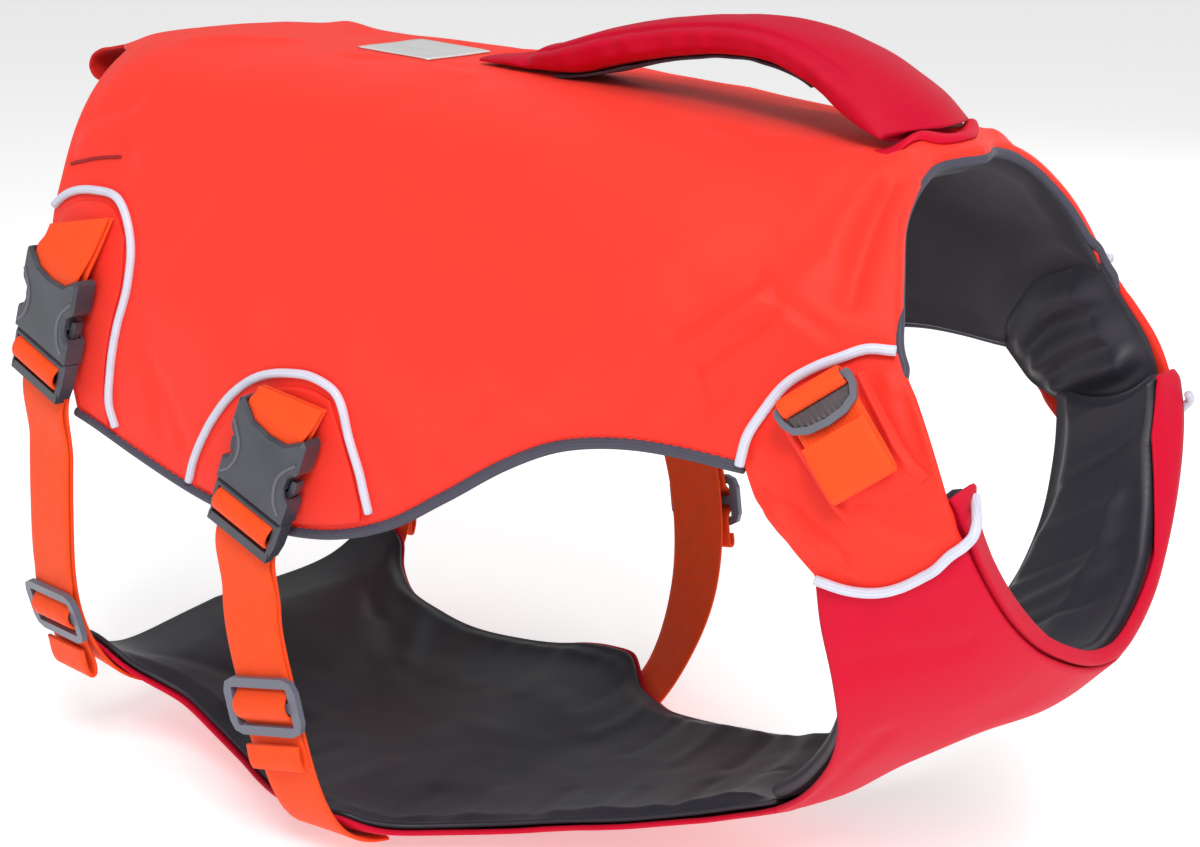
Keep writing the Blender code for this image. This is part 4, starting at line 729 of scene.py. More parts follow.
def stitches(name, path, outward, mat, pitch=3.0, long=2.1, radius=0.24):
    """A row of thread stitches along a path: half-buried beads, each a small rounded bar."""
    walk = np.concatenate([[0], np.cumsum(np.linalg.norm(np.diff(path, axis=0), axis=1))])
    starts = np.arange(pitch / 2, walk[-1] - long, pitch)
    at = lambda s: np.stack([np.interp(s, walk, path[:, k]) for k in range(3)], axis=-1)
    over = lambda s: unit(np.stack([np.interp(s, walk, outward[:, k]) for k in range(3)], axis=-1))
    turn = np.linspace(0, 2 * np.pi, 6, endpoint=False)
    blocks = []
    shares = [(0.0, 0.35, -0.12), (0.18, 0.95, 0.04), (0.82, 0.95, 0.04), (1.0, 0.35, -0.12)]
    for share, size, lift in shares:
        middle = at(starts + share * long) + over(starts) * (lift + radius * 0.3)
        run = unit(at(starts + long) - at(starts))
        side = unit(np.cross(run, over(starts)))
        blocks.append(middle[:, None] + radius * size * (
            side[:, None] * np.cos(turn)[None, :, None] + over(starts)[:, None]
            * np.sin(turn)[None, :, None]))
    rings = np.stack(blocks, axis=1)                      # stitch, ring, around, xyz
    count = len(starts)
    index = np.arange(count * 24).reshape(count, 4, 6)
    ahead = np.roll(index, -1, axis=2)
    quads = np.stack([index[:, :-1], index[:, 1:], ahead[:, 1:], ahead[:, :-1]],
                     axis=-1).reshape(-1, 4)
    ends = [index[:, 0, [0, 1, 2, 3]], index[:, 0, [0, 3, 4, 5]],
            index[:, 3, [3, 2, 1, 0]], index[:, 3, [5, 4, 3, 0]]]
    faces = [quads] + ends
    verts = rings.reshape(-1, 3)
    return make_piece(name, verts, faces, [verts[f][..., :2] for f in faces], mat)


# ---------------------------------------------------------------- back
def back_places(columns, seam_columns, shares):
    """Places of the back panel: rows of x from rear to neck, columns from spine to hem."""
    hem = np.concatenate([along(HEM, columns - seam_columns),
                          along(SHOULDER_SEAM, seam_columns)[1:]])
    return patch(along(SPINE_LINE, columns), hem, at_shares(REAR_EDGE, shares),
                 at_shares(NECK_EDGE, shares), v=shares)


def full_share(x, drop):
    """1 over the foam, falling to 0 at the bound edges."""
    flat_x, flat_d = x.reshape(-1), drop.reshape(-1)
    parts = [np.minimum(edge_distance(flat_x[k:k + 6000], flat_d[k:k + 6000],
                                      (REAR_EDGE, HEM, SHOULDER_SEAM)),
                        2.2 * edge_distance(flat_x[k:k + 6000], flat_d[k:k + 6000], (NECK_EDGE,)))
             for k in range(0, len(flat_x), 6000)]
    return ease(np.concatenate(parts).reshape(x.shape) / FOAM_ROLL)


def back_rise(x, drop):
    """Height of the back panel over the form, with its folds, creases and slack cloth."""
    full = full_share(x, drop)
    folds = ridges(FOLDS, x, drop) + ridges(CREASES, x, drop)
    return folds * full + 0.45 * slack(x, np.abs(drop), 3) * full - 1.2 * (1 - full), full


shares = np.linspace(0, 1, 92)
grid = both_sides(back_places(170, 36, shares))
x, drop = grid[..., 0], grid[..., 1]
rise, full = back_rise(x, drop)
outward = form_normal(x, drop)
at_neck = ease((x - 172) / 12) * ease((96 - np.abs(drop)) / 10)
foam = (BACK_EDGE + 1.6 * at_neck * (1 - full) + (BACK_FOAM - BACK_EDGE) * full
        + np.maximum(rise + 1.2 * (1 - full), -2.5))
back = shell("back_cloth", place(x, drop, rise), outward, foam, SHELL_RED, grid,
             "back_panel")

grid = both_sides(back_places(120, 26, np.linspace(0, 1, 60)))
x, drop = grid[..., 0], grid[..., 1]
full = full_share(x, drop)
wrinkle = 0.5 * slack(x, np.abs(drop), 9) + 0.5 * ripple(x, np.abs(drop) * 0.4, 9, 4)
depth = BACK_EDGE + (BACK_FOAM - BACK_EDGE) * full + 1.2 * (1 - full) + 0.9 - 0.8 * wrinkle * full
lining = shell("back_lining_cloth", place(x, drop, -depth), form_normal(x, drop), 1.6, LINING,
               grid, "back_lining")


def laid(x, drop, over, thick):
    """Points of a piece of cloth whose inside lies over the back panel."""
    return place(x, drop, back_rise(x, drop)[0] + over + thick)


for side, tag in SIDES:
    path = moved_out(HEM, BINDING * 0.55, 160)
    x, drop = path[:, 0], path[:, 1] * side
    outward = form_normal(x, drop)
    cord(f"hem_tape_{tag}", place(x, drop, np.full(len(x), -1.5)), outward, BINDING * 0.9,
         BINDING * 0.8, BINDING_GREY, f"hem_binding_{tag}")
    # A dark tack along the bottom of the rear crease: real stitching, with its dark colour partly painted
    # shade where the crease falls into shadow.
    x, drop = along([(-117, 104), (-106, 102.5), (-89, 101)], 40).T
    stitches(f"rear_tack_{tag}", laid(x, drop * side, 0.0, -0.1), form_normal(x, drop * side),
             TACK_AND_CREASE_SHADE_RED, pitch=2.1, long=2.0, radius=0.75)
    inner = moved_out(HEM, -0.6, 160)
    x, drop = inner[:, 0], inner[:, 1] * side
    stitches(f"hem_stitch_{tag}", laid(x, drop, 0.0, 0.1), form_normal(x, drop), THREAD_RED)

x0, x1, half_width = LABEL_PLACE
u, v = np.meshgrid(np.linspace(x0, x1, 24), np.linspace(-half_width, half_width, 50),
                   indexing="ij")
label = shell("label", laid(u, v, 0.1, 0.7), form_normal(u, v), 0.7, LABEL_PALE,
              np.stack([u, v], axis=-1), "back_label")

# ---------------------------------------------------------------- arches
for side, tag in SIDES:
    for name, arch in ARCHES.items():
        across, down = 36, 44
        foot = along([arch["back"][0], arch["front"][-1]], across)
        hem = np.array(HEM, float)
        foot[:, 1] = smooth_row(hem[:, 0], hem[:, 1], foot[:, 0]) - 2.6
        back_line, front = along(arch["back"][::-1], down), along(arch["front"], down)
        back_line[-1], front[-1] = foot[0], foot[-1]
        grid = patch(along(arch["top"], across), foot, back_line, front)
        x, drop = grid[..., 0], grid[..., 1] * side
        soft = 0.25 * slack(x, np.abs(drop), 12)
        cloth = shell(f"{name}_arch_cloth_{tag}", laid(x, drop, 0.15, 1.0 + soft),
                      form_normal(x, drop), 1.0, SHELL_RED, grid,
                      f"{name}_arch_panel_{tag}")
        line = along(arch["piping"], 110)
        x, drop = line[:, 0], line[:, 1] * side
        outward = form_normal(x, drop)
        cord(f"{name}_arch_bead_{tag}", laid(x, drop, 0.0, PIPING * 0.6), outward, PIPING * 0.88,
             PIPING * 0.85, REFLECTIVE, f"{name}_arch_piping_{tag}")

# ---------------------------------------------------------------- shoulders
SHOULDER_CREASES = [
    (174, 146, 197, 155, -1.7, 2.6),
    (176, 152, 200, 158, 1.5, 3.0),
    (209, 106, 225, 134, -1.4, 3.2),
    (204, 100, 222, 130, 1.2, 2.8),
    (171, 136, 180, 154, 1.2, 3.0),
    (202, 138, 223, 141, 1.3, 4.0)]
BEAD_END = [(227.5, 143.6), (231, 140), (233.2, 137), (233.9, 135), (233.4, 133.4), (231.6, 132)]
BEAD_TURN = [1.5, 1.4, 0.8, -1.4, -6.0, -12.5]      # heights as the piping goes over the front
for side, tag in SIDES:
    top = moved_out(SHOULDER_SEAM[::-1], -0.45, 60)[::-1]
    foot = moved_out(CHEST_SEAM, -0.2, 60)
    rear = along([top[0]] + SHOULDER_REAR[1:-1] + [foot[0]], 60)
    front = along([top[-1]] + SHOULDER_FRONT[1:-1] + [foot[-1]], 60)
    grid = patch(top, foot, rear, front)
    x, drop = grid[..., 0], grid[..., 1] * side
    share = np.linspace(0, 1, grid.shape[1])[None] * np.ones((len(grid), 1))
    soft = ridges(SHOULDER_CREASES, x, drop) + 0.3 * slack(x, np.abs(drop), 21)
    soft *= ease(share * 9) * ease((1 - share) * 9)
    rise = -0.9 * (1 - share) + soft
    panel = shell(f"shoulder_cloth_{tag}", place(x, drop, rise), form_normal(x, drop), 2.0,
                  SHELL_RED, grid, f"shoulder_panel_{tag}")
    line = along(SHOULDER_SEAM, 90)
    x, drop = line[:, 0], line[:, 1] * side
    cord(f"shoulder_bead_{tag}", place(x, drop, np.full(91, PIPING - 0.5)), form_normal(x, drop),
         PIPING * 0.88, PIPING * 0.85, REFLECTIVE, f"shoulder_seam_piping_{tag}")
    kept = 6 if side < 0 else 4
    line = np.concatenate([along(CHEST_SEAM[:-1], 14), BEAD_END[:kept]])
    height = np.array([PIPING - 0.3] * 15 + BEAD_TURN[:kept])
    path = place(line[:, 0], line[:, 1] * side, height)
    outward = form_normal(line[:, 0], line[:, 1] * side)
    both = at_shares(np.concatenate([path, outward * 3], axis=1), np.linspace(0, 1, 120))
    cord(f"chest_bead_{tag}", both[:, :3], unit(both[:, 3:]), PIPING * 0.88, PIPING * 0.85, REFLECTIVE,
         f"chest_seam_piping_{tag}")

edge = moved_out(BOUND_FRONT[::-1] + NECK_EDGE[::-1][1:], NECK_BINDING * 0.5, 120)
edge = np.concatenate([edge[1:-1], [(edge[-1][0], 0)], (edge * [1, -1])[-2:0:-1]])
edge[:, 0] -= 2.4 * ease((np.abs(edge[:, 1]) - 95) / 6)
sunk = -2.4 - 2.2 * ease((88 - np.abs(edge[:, 1])) / 8)
cord("neck_tape", place(edge[:, 0], edge[:, 1], sunk), form_normal(edge[:, 0], edge[:, 1]),
     NECK_BINDING * 0.8, NECK_BINDING, BINDING_GREY, "neck_binding")


# ---------------------------------------------------------------- chest and belly
def seam_line(up, forward=0.0, count=60):
    """The chest seam moved up over the shoulder, as x and reach."""
    line = moved_out(CHEST_SEAM, -up, count)
    line[:, 0] += forward * np.linspace(0, 1, count + 1)
    return np.stack([line[:, 0], half_girth(line[:, 0]) - line[:, 1]], axis=-1)


def chest_places(up, forward, inset, front_line, rows=110, columns=60):
    """Places of the chest piece, from its leg edge to its front edge, both sides."""
    top = seam_line(up, forward, columns)
    top[:, 0] += inset * np.linspace(1, 0, columns + 1)
    seam = 150.3
    leg = [(seam, LEG_EDGE[0][1] - inset)] + [(px + inset, r) for px, r in LEG_EDGE[1:-1]]
    low = rows // 4
    rear = np.concatenate([along([(seam, 0), leg[0]], low),
                           along(leg + [tuple(top[0])], rows - low)[1:]])
    front = along(front_line + [tuple(top[-1])], rows)
    return both_sides(patch(along([rear[0], front[0]], columns), top, rear, front))


CHEST_CREASES = [
    # x0  reach0  x1  reach1  height  half width
    (196, 100, 226,  84, -0.8, 5.0),
    (200, 122, 226, 110, 0.7, 5.0),
    (156,  36, 196,  62, -0.8, 4.0),
    (170,  20, 226,  30, 0.6, 8.0),
    (192,  66, 204, 120, -0.6, 4.0)]


def reach_ridges(table, places):
    """Folds given by x and reach, over places given the same way."""
    return ridges(table, places[..., 0], places[..., 1])


places_ = chest_places(-0.7, 0, 0, CHEST_FRONT[:-1])
grid = to_drop(places_)
x, drop = grid[..., 0], grid[..., 1]
soft = reach_ridges(CHEST_CREASES, places_) + 0.35 * slack(x, np.abs(places_[..., 1]), 31)
rows = np.linspace(0, 1, len(grid))[:, None]
soft *= ease(rows * 12) * ease((1 - rows) * 8)
chest = shell("chest_cloth", place(x, drop, soft), form_normal(x, drop), 1.8, CRIMSON,
              places_, "chest_panel")

PAD_CREASES = [
    (152,   0, 236,   0, 0.0, 5.0),
    (196,  30, 232,  34, -1.2, 3.0),
    (192,  46, 232,  50, 0.9, 4.0),
    (196,  66, 234,  62, -1.3, 3.0),
    (190,  84, 230,  80, 0.8, 4.0),
    (194, 104, 232, 108, -0.8, 3.0),
    (170,  20, 190,  60, -0.8, 4.0)]
places_ = chest_places(PAD_ABOVE_SEAM, 7.0, 1.0, PAD_FRONT)
grid = to_drop(places_)
x, drop = grid[..., 0], grid[..., 1]
reach = np.abs(places_[..., 1])
rows = np.linspace(0, 1, len(grid))[:, None]
rear_soft = ease(rows * 3.4) * ease((x - 150) / 34)
top_soft = 0.35 + 0.65 * ease((148 - reach) / 16)
front_soft = 1 - np.interp(reach, [50, 72, 98], [0.65, 0.4, 0]) * ease(rows * 5 - 4)
foam = 5.0 + (CHEST_FOAM - 5.0) * np.minimum(rear_soft, top_soft)
lumps = reach_ridges(PAD_CREASES, places_) + 0.9 * slack(x * 0.5, reach, 41)
lumps *= ease(rows * 5) * ease((1 - rows) * 8)
pad = shell("chest_pad_cloth", place(x, drop, np.full(x.shape, -4.5)), form_normal(x, drop),
            foam * front_soft + lumps, LINING, places_, "chest_pad", rim=0.22)

# The facing: a strip of crimson that goes in under the chest cloth and turns down its front
facing_front = FACING_FRONT[:-1] + [(227.4, 130), (225.4, 134)]
front = along([(px, -r) for px, r in facing_front[:0:-1]] + facing_front, 180)
reach = np.abs(front[:, 1])
under = -np.interp(reach, [109, 119], [2.5, 2.9])
deep = -np.interp(reach, *FACING_DEEP)
steps = [(-10.0, under), (-5.0, under), (0.2, under), (1.0, under * 0.3 - 0.9)]
steps += [(1.6 + 1.1 * math.sin(0.6 * math.pi * t) ** 0.7, -0.5 + (deep + 0.5) * t)
          for t in np.linspace(0.0, 1, 9)]
points, outward = [], []
for ahead, out in steps:
    rim = to_drop(front + [ahead, 0])
    wave = 0.25 * slack(front[:, 1], out * 3, 51) if ahead > 1.8 else 0
    points.append(place(rim[:, 0] + wave, rim[:, 1], out))
    outward.append(form_normal(rim[:, 0], rim[:, 1]) + ([0, 0, 0] if ahead < 1.8 else [3, 0, 0]))
walk = np.array([a for a, _ in steps[:4]] + list(np.linspace(3, 14, 9)))
uv = np.stack(np.broadcast_arrays(front[:, 1][:, None], walk[None]), axis=-1)
facing = shell("chest_facing_cloth", np.stack(points, axis=1), np.stack(outward, axis=1),
               FACING_CLOTH, CRIMSON, uv, "chest_facing", rim=0.3)


def belly_places(count, across, inset):
    """Places of the belly piece, from rear to seam, both sides."""
    side = along(BELLY_SIDE, count)
    u = (side[:, 0] + 134) / (150 + 134)
    side = side - [0, inset]
    side[0] += [inset, 0]
    side[:, 0] = np.where(side[:, 0] > 149.7, 149.7, side[:, 0])
    middle = at_shares([(-149 + inset, 0), (149.7, 0)], u)
    shares = ease(np.linspace(0, 1, across)) * 0.35 + np.linspace(0, 1, across) * 0.65
    rear = BELLY_REAR[:-1] + [tuple(side[0] - [inset, 0])]
    start = at_shares(rear, shares) + [inset, 0]
    end = at_shares([middle[-1], side[-1]], shares)
    return both_sides(patch(middle, side, start, end, u=u, v=shares))


places_ = belly_places(190, 40, 0.0)
grid = to_drop(places_)
x, drop = grid[..., 0], grid[..., 1]
soft = 0.3 * slack(x, places_[..., 1], 61)
belly = shell("belly_cloth", place(x, drop, soft), form_normal(x, drop), 1.8, CRIMSON,
              places_, "belly_panel")

BELLY_CREASES = [
    (-120, 60, -96, 40, -0.9, 4.0),
    (-90,  66, -70, 30, 0.9, 5.0),
    (-50,  76, -40, 40, -0.8, 5.0),
    (-20,  86, -14, 40, 0.9, 6.0),
    (14,   80, 10, 44, -1.0, 4.0),
    (40,   62, 30, 30, 0.9, 5.0),
    (60,   54, 54, 20, -0.8, 4.0),
    (84,   46, 80, 12, 0.8, 4.0),
    (110,  38, 108, 8, -0.9, 4.0),
    (130,  34, 130, 4, 0.8, 4.0)]
places_ = belly_places(190, 40, 1.2)
grid = to_drop(places_)
x, drop = grid[..., 0], grid[..., 1]
v = np.abs(np.linspace(-1, 1, grid.shape[1]))[None]
u = np.linspace(0, 1, len(grid))[:, None]
plump = ease((1 - v) * 7) * ease(u * 9) * ease((1 - u) * 20)
pucker = 0.5 * np.sin(x / 11 * 2 * np.pi + 2 * ripple(x, x * 0, 30, 2)) * np.exp(-((1 - v) / 0.12))
lumps = reach_ridges(BELLY_CREASES, places_) + 0.8 * slack(x, places_[..., 1], 71) + pucker
foam = 1.8 + (5.0 - 1.8) * plump + lumps * plump
lining = shell("belly_lining_cloth", place(x, drop, np.full(x.shape, -2.7)),
               form_normal(x, drop), np.maximum(foam, 1.2), LINING, places_,
               "belly_lining", rim=0.3)

for side, tag in SIDES:
    top = moved_out(SHOULDER_SEAM[::-1], 3.0, 50)[::-1]
    foot = moved_out(CHEST_SEAM, -(PAD_ABOVE_SEAM - 5.0), 50)
    rear = along([top[0], (170.5, 147.5), (175, 151.5), foot[0]], 60)
    front = along([top[-1], (210.5, 103.4), (218.5, 118.4), foot[-1] + [1.5, 0]], 60)
    grid = patch(top, foot, rear, front)
    x, drop = grid[..., 0], grid[..., 1] * side
    a, b = np.linspace(0, 1, 51)[:, None], np.linspace(0, 1, 61)[None]
    plump = ease(a * 5) * ease((1 - a) * 5) * ease(b * 6) * ease((1 - b) * 4)
    roll = 1.3 * np.sin(b * 27 + 2.5 * a) + 0.8 * np.sin(b * 15 - 3 * a + 1)
    thick = 1.4 + (5.6 + roll + 0.9 * slack(x, drop, 81)) * plump
    soft = shell(f"shoulder_lining_cloth_{tag}", place(x, drop, np.full(x.shape, -3.2)),
                 form_normal(x, drop), thick, LINING, grid,
                 f"shoulder_lining_{tag}", rim=0.3)


# ---------------------------------------------------------------- handle, loop
def handle_points(shares, turns):
    """The handle: each section is a superellipse, flatter below than above, that bows forward."""
    rows = at_shares(HANDLE, shares)
    x, bow, top, under, half = (rows[:, k][:, None] for k in range(5))
    y = half * np.sign(np.cos(turns)) * np.abs(np.cos(turns)) ** 0.8
    middle = under + 0.42 * (top - under)
    z = middle + np.where(turns <= math.pi, top - middle, middle - under) * np.sign(
        np.sin(turns)) * np.abs(np.sin(turns)) ** 0.75
    return np.stack([x + bow * (1 - (y / half) ** 2), y, z], axis=-1)


shares = np.linspace(0, 1, 200)
turns = np.linspace(0, 2 * math.pi, 64, endpoint=False)[None]
ring = handle_points(shares, turns)
middle = ring.mean(axis=1, keepdims=True)
away = unit((ring - middle) * [0.15, 1, 1])
s = ring[..., 0]
grip = ease((s - 30) / 12) * ease((168 - s) / 20)
pucker = 1.0 * ripple(s, turns * 6 + s * 0, 5.0, 91) * np.exp(-((np.sin(turns) - 0.0) / 0.55) ** 2)
lumps = 0.8 * slack(s, ring[..., 1] * 1.5, 92)
edge_turn = np.minimum(turns, math.pi - turns)
seam = 1.3 * np.exp(-((edge_turn - 0.25) / 0.2) ** 2)
groove = -1.6 * np.exp(-((edge_turn - 0.62) / 0.10) ** 2)
fold = -1.3 * np.exp(-((s - 30) / 2.2) ** 2) + 0.7 * np.exp(-((s - 24) / 2.5) ** 2)
ring = ring + away * ((pucker + lumps + seam + groove) * grip + fold * (np.sin(turns) > 0))[..., None]
n, m = ring.shape[:2]
verts = np.concatenate([ring.reshape(-1, 3), ring[[0, -1]].mean(axis=1)])
index = np.arange(n * m).reshape(n, m)
ahead = np.roll(index, -1, axis=1)
quads = np.stack([index[:-1], index[1:], ahead[1:], ahead[:-1]], axis=-1).reshape(-1, 4)
caps = [np.stack([index[0], ahead[0], np.full(m, n * m)], axis=-1),
        np.stack([ahead[-1], index[-1], np.full(m, n * m + 1)], axis=-1)]
around = np.concatenate([[0], np.cumsum(np.full(m, 1.7))])
uv = np.stack(np.broadcast_arrays(np.linspace(0, 185, n)[:, None], around[None]), axis=-1)
quad_uv = np.stack([uv[:-1, :-1], uv[1:, :-1], uv[1:, 1:], uv[:-1, 1:]], axis=2).reshape(-1, 4, 2)
handle = make_piece("handle_cloth", verts, [quads] + caps,
                    [quad_uv] + [verts[c][..., [0, 1]] for c in caps], HANDLE_RED,
                    "handle_grip")

x0, x1, half_width = HANDLE_TAPE
share = np.linspace(0, 1, 400)
rows = at_shares(HANDLE, share)
rows = rows[(rows[:, 0] >= x0 - 4) & (rows[:, 0] <= x1 + 4)][::2]
across = np.linspace(-half_width, half_width, 17)
points = np.stack(np.broadcast_arrays(rows[:, 0][:, None], across[None], rows[:, 3][:, None] - 0.55),
                  axis=-1).copy()
points[..., 2] -= 0.5 + 0.35 * ripple(points[..., 0], points[..., 1], 6, 95)
down = np.broadcast_to([0.0, 0.0, -1.0], points.shape)
tape = shell("handle_tape", points, down, 0.9, BINDING_GREY,
             points[..., [1, 0]], "handle_underside")

row = HANDLE[-1]
across = np.linspace(-row[4], row[4], 60)
ahead_ = np.linspace(0, HANDLE_SEAM, 8)
gx = row[0] + row[1] * (1 - (across / row[4]) ** 2)
gx = gx[None] - 1.6 + ahead_[:, None] * 1.5
fine_drop = np.linspace(0, 40, 200)
gd = np.zeros_like(gx)
for i, j in np.ndindex(gx.shape):
    width = form_point(np.full(200, gx[i, j]), fine_drop)[:, 1]
    gd[i, j] = np.interp(abs(across[j]), width, fine_drop) * np.sign(across[j])
roll = 0.7 + 1.3 * np.sin(np.pi * np.linspace(0, 1, 8))[:, None] ** 0.6
roll = 0.3 + roll * ease((row[4] - np.abs(across)) / 5)[None]
shell("handle_seam_strip", laid(gx, gd, 0.0, roll), form_normal(gx, gd), roll, CRIMSON,
      np.stack([gx, gd], axis=-1), "handle_front_tab")

path = at_shares([(px, 0, pz) for px, pz in RUMP_LOOP], np.linspace(0, 1, 160))
webbing("rump_loop_tape", path, np.array([0.0, 1.0, 0.0]), WEB_DARK, "rump_loop",
        thick=1.3)


# ---------------------------------------------------------------- hardware and straps
class Frame:
    """Where a hard part is, with the directions across, down and out there."""

    def __init__(self, name):
        self.start, self.down, self.out = (np.array(v) for v in PLACES[name])
        self.across = np.cross(self.down, self.out)

    def at(self, points):
        p = np.asarray(points, float)
        return (self.start + p[..., :1] * self.across + p[..., 1:2] * self.down
                + p[..., 2:] * self.out)

    def fold(self, path):
        path = np.asarray(path, float)
        return self.at(np.concatenate([path[:, :1] * 0, path], axis=1))


start, end = (np.array(ADJUSTER[k], float) for k in ("top", "bottom"))
run = (end - start) / np.hypot(*(end - start))
sideways = np.array([run[1], -run[0]])
for side, tag in SIDES:
    columns = np.linspace(CHANNEL[0][0], CHANNEL[0][-1], 75)
    top = 2.5 + 0.08 * np.maximum(0, -columns - 9.5) ** 2
    t = np.linspace(0, 1, 60)[:, None]
    length = top[None] + (CHANNEL[2] + 1.5 - top[None]) * t
    grid = start + sideways * columns[None, :, None] + run * length[..., None]
    x, drop = grid[..., 0], grid[..., 1] * side
    welt = 2.0 * np.exp(-((np.abs(columns) - CHANNEL[1]) / 1.5) ** 2)[None]
    sink = 1.6 * ease(t * 5 - 4)
    crumple = 0.5 * ripple(length * 1.2, columns[None] * 0.5 + length * 0, 5, 33)
    channel = shell(f"shoulder_channel_cloth_{tag}",
                    place(x, drop, 1.5 + (welt + crumple) * (1 - sink / 2) - sink),
                    form_normal(x, drop), 1.1, SHELL_RED, grid,
                    f"shoulder_channel_{tag}")
    lock = Frame(f"ladder_lock_{tag}")
    path = lock.fold([(7, 0.9), (1.4, 0.9), (0.1, 1.5), (-0.4, 3.0), (0.0, 4.7), (1.2, 5.5),
                      (2.8, 5.4), (3.8, 4.5), (3.95, 3.5)])
    webbing(f"shoulder_web_{tag}", at_shares(path, np.linspace(0, 1, 90)), lock.across,
            WEB_ORANGE, f"shoulder_webbing_{tag}", width=20)
    webbing(f"shoulder_tab_web_{tag}", at_shares(lock.fold(TAB_FOLD), np.linspace(0, 1, 110)),
            lock.across, WEB_ORANGE, f"shoulder_tab_{tag}", width=20)
    half = np.interp(np.linspace(5.0, 9.6, 70), [5, 7.6, 9.6], [10.2, 9.2, 5.0])
    down = np.linspace(5.0, 9.6, 70)[:, None] + np.zeros((1, 30))
    across = half[:, None] * np.linspace(-1, 1, 30)[None]
    ribs = 3.5 + 0.25 * np.sin(across * 2 * np.pi / 1.7)
    shell(f"lock_plate_{tag}", lock.at(np.stack([across, down, ribs], axis=-1)),
          np.broadcast_to(lock.out, (70, 30, 3)), 0.35, PLATE,
          np.stack([across, down], axis=-1))


class Route:
    """The line on the form that a strap follows from its buckle to under the belly."""

    def __init__(self, places, side):
        self.places = at_shares(places, np.linspace(0, 1, 200)) * [1, side]
        line = form_point(self.places[:, 0], self.places[:, 1])
        steps = np.linalg.norm(np.diff(line, axis=0), axis=1)
        self.length = np.concatenate([[0], np.cumsum(steps)])

    def at(self, s, out):
        x, drop = (np.interp(s, self.length, self.places[:, k]) for k in (0, 1))
        return place(x, drop, np.full(np.shape(x), out))

    def across(self, s):
        down = self.at(s + 2.0, 0.0) - self.at(s - 2.0, 0.0)
        x, drop = (np.interp(s, self.length, self.places[:, k]) for k in (0, 1))
        return unit(np.cross(down, form_normal(x, drop)))

    def nearest(self, spot, side):
        gaps = np.hypot(*(self.places - np.array(spot) * [1, side]).T)
        return float(self.length[gaps.argmin()])


# The strap over the tongue's bar as down, up, and the ridge round a socket's side opening
BAR_ROLL = [(52, 0.9), (42, 1.0), (38.3, 1.4), (36.4, 2.8), (36.0, 5.4), (36.8, 8.2), (39.4, 9.6),
            (42.4, 9.2), (44.6, 6.6), (45.4, 3.8), (48, 2.85), (54, 2.85)]
RIDGE_LINE = [(14.2, 9.0), (12.2, 11.6), (9.9, 15.0), (8.9, 19.0), (9.3, 23.0), (10.9, 26.8),
              (13.6, 29.6)]
for (name, side), strap in STRAPS.items():
    tag = "R" if side == RIGHT else "L"
    buckle, hold = Frame(f"{name}_buckle_{tag}"), Frame(f"{name}_slider_{tag}")
    high, low = (np.array(strap[k], float) for k in ("top", "bottom"))
    x, drop = (high - (low - high) / np.hypot(*(low - high)) * strap["sewn"]) * [1, side]
    lean = np.array(strap["seam"]) * [1, side]
    edge = unit(form_point(x + lean[0] * 5, drop + lean[1] * 5) - form_point(x, drop))
    outward = form_normal(np.array(x), np.array(drop))
    foot = laid(np.array([x]), np.array([drop]), 2.2, 0.0)[0] + outward * (WEB / 2)
    # Raised ridges round the side openings, drawn in the paler plastic that paints their highlight.
    for way in (1, -1):
        line = along([(w * way, l, 8.95) for w, l in RIDGE_LINE], 40)
        cord(f"{name}_buckle_ridge_{tag}_{'ab'[way < 0]}", buckle.at(line),
             np.tile(buckle.out, (41, 1)), 0.62, 0.62, RIDGE_HIGHLIGHT)
    fold = buckle.fold(SOCKET_FOLD)
    middle = foot + (fold[0] - foot) * 0.55
    path = [foot, middle, *fold, middle + outward * 2.2, foot + outward * 2.0]
    webbing(f"{name}_loop_web_{tag}", at_shares(path, np.linspace(0, 1, 140)), buckle.across,
            WEB_ORANGE, f"{name}_buckle_loop_{tag}", edge,
            slant_run=strap["sewn"] + 1)
    route = Route([strap["bottom"]] + strap["line"], side)
    s_slider = route.nearest(strap["slider"], side)
    near = min(22.0, s_slider - 13.5)
    up, back_ = np.arange(route.length[-1], near, -4.0), np.arange(near + 1, s_slider - 12, 4.0)
    tail = 11.5 + strap["tail"]
    end = [(12, 3.45), (tail, 3.45), (tail + 1.1, 3.9), (tail + 1.4, 4.7), (tail + 1.1, 5.6),
           (tail, 6.0), (14, 6.0)]
    path = np.concatenate([route.at(up, INNER_OUT), buckle.fold(BAR_ROLL),
                           route.at(back_, OUTER_OUT + strap["slack"]), hold.fold(SLIDER_PASS),
                           hold.fold(end)])
    side_way = np.concatenate([
        route.across(up), np.tile(buckle.across, (len(BAR_ROLL), 1)), route.across(back_),
        np.tile(hold.across, (len(SLIDER_PASS) + len(end), 1))])
    both = at_shares(np.concatenate([path, side_way * 0.01], axis=1), np.linspace(0, 1, 700))
    webbing(f"{name}_strap_web_{tag}", both[:, :3], unit(both[:, 3:]), WEB_ORANGE,
            f"{name}_strap_{tag}")

for node, obj in nodes.items():
    mat = None
    if "buckle_socket" in node or "buckle_tongue" in node:
        mat = BUCKLE
    elif "slider" in node:
        mat = SLIDER
    elif "ladder_lock" in node:
        mat = LOCK
    if mat:
        obj.data.materials.clear()
        obj.data.materials.append(mat)
        soft = obj.modifiers.new("soft_edges", "BEVEL")
        soft.width, soft.segments, soft.limit_method = 0.45 * MM, 3, "ANGLE"
        soft.angle_limit, soft.harden_normals = math.radians(30), False

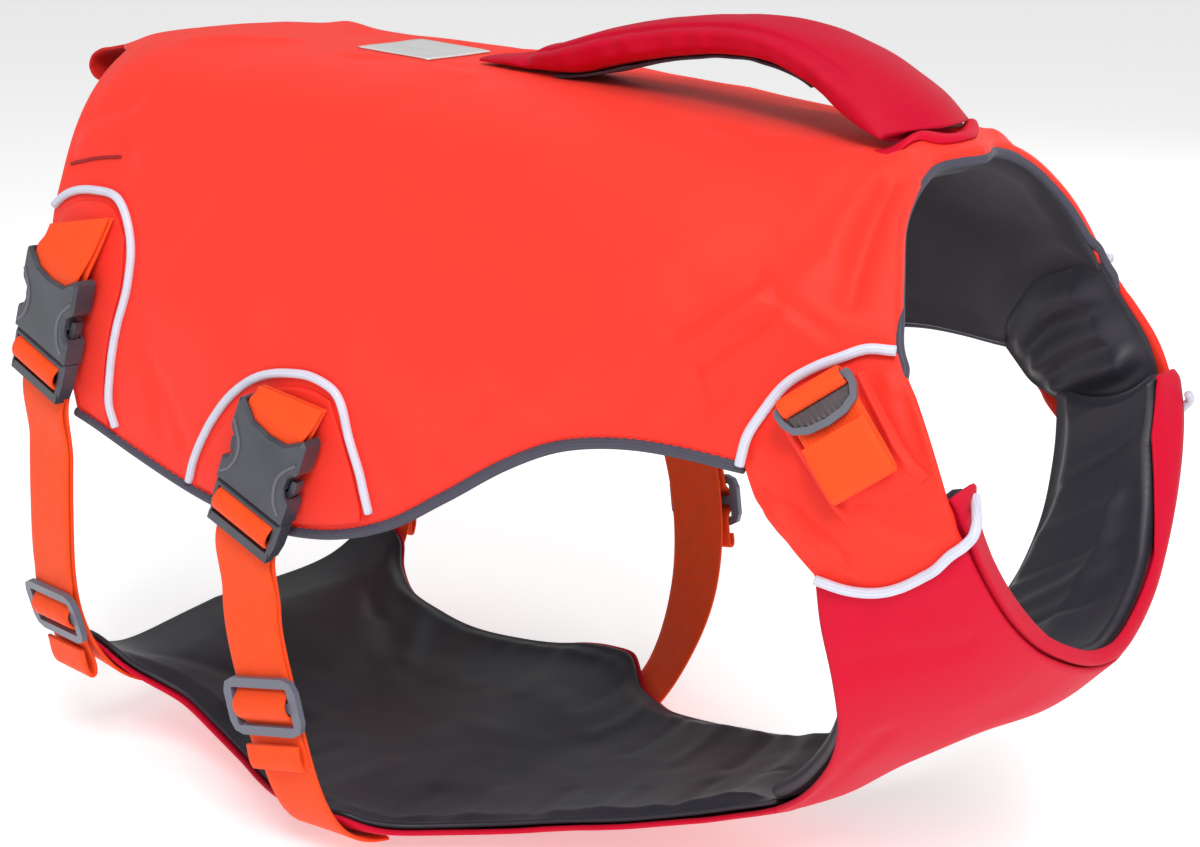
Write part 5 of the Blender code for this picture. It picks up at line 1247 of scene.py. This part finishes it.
# ---------------------------------------------------------------- floor, light, camera
world = bpy.data.worlds.new("studio")
bpy.context.scene.world = world
world.use_nodes = True
world.node_tree.nodes["Background"].inputs["Color"].default_value = (1.0, 1.0, 1.0, 1)
world.node_tree.nodes["Background"].inputs["Strength"].default_value = 0.40

floor_mat = bpy.data.materials.new("floor")
floor_mat.use_nodes = True
shader = floor_mat.node_tree.nodes["Principled BSDF"]
shader.inputs["Base Color"].default_value = (0.93, 0.93, 0.93, 1)
shader.inputs["Roughness"].default_value = 0.9
shader.inputs["Emission Color"].default_value = (1.0, 1.0, 1.0, 1)
shader.inputs["Emission Strength"].default_value = 0.42
mesh = bpy.data.meshes.new("floor")
mesh.from_pydata([(-9, -9, -0.263), (9, -9, -0.263), (9, 9, -0.263), (-9, 9, -0.263)], [], [(0, 1, 2, 3)])
mesh.materials.append(floor_mat)
floor = bpy.data.objects.new("floor", mesh)
bpy.context.scene.collection.objects.link(floor)


def aim(obj, target):
    obj.rotation_euler = (Vector(target) - obj.location).to_track_quat("-Z", "Y").to_euler()


LIGHTS = [
    # name    place                 size  power  aimed at
    ("key",   (0.9, -0.9, 1.05),    0.6,  19.0, (0.03, -0.05, -0.12)),
    ("top",   (0.3, -0.1, 1.5),     0.7,   6.0, (0.0, 0.0, -0.1)),
    ("fill",  (-1.4, -0.9, 0.3),    1.2,   2.0, (0.0, 0.0, -0.12)),
    ("back",  (0.2, 1.5, 0.6),      1.0,   3.0, (0.0, 0.0, -0.1))]
for name, spot, size, power, target in LIGHTS:
    lamp = bpy.data.lights.new(name, "AREA")
    lamp.size, lamp.energy = size, power
    obj = bpy.data.objects.new(name, lamp)
    obj.location = spot
    aim(obj, target)
    bpy.context.scene.collection.objects.link(obj)

camera = bpy.data.cameras.new("camera")
camera.lens, camera.sensor_width = 59.4, 36.0
camera_obj = bpy.data.objects.new("camera", camera)
camera_obj.location = (0.4406, -0.5459, 0.0810)
aim(camera_obj, (0.0, 0.074, -0.140))
bpy.context.scene.collection.objects.link(camera_obj)
bpy.context.scene.camera = camera_obj
bpy.context.scene.view_settings.view_transform = "Standard"
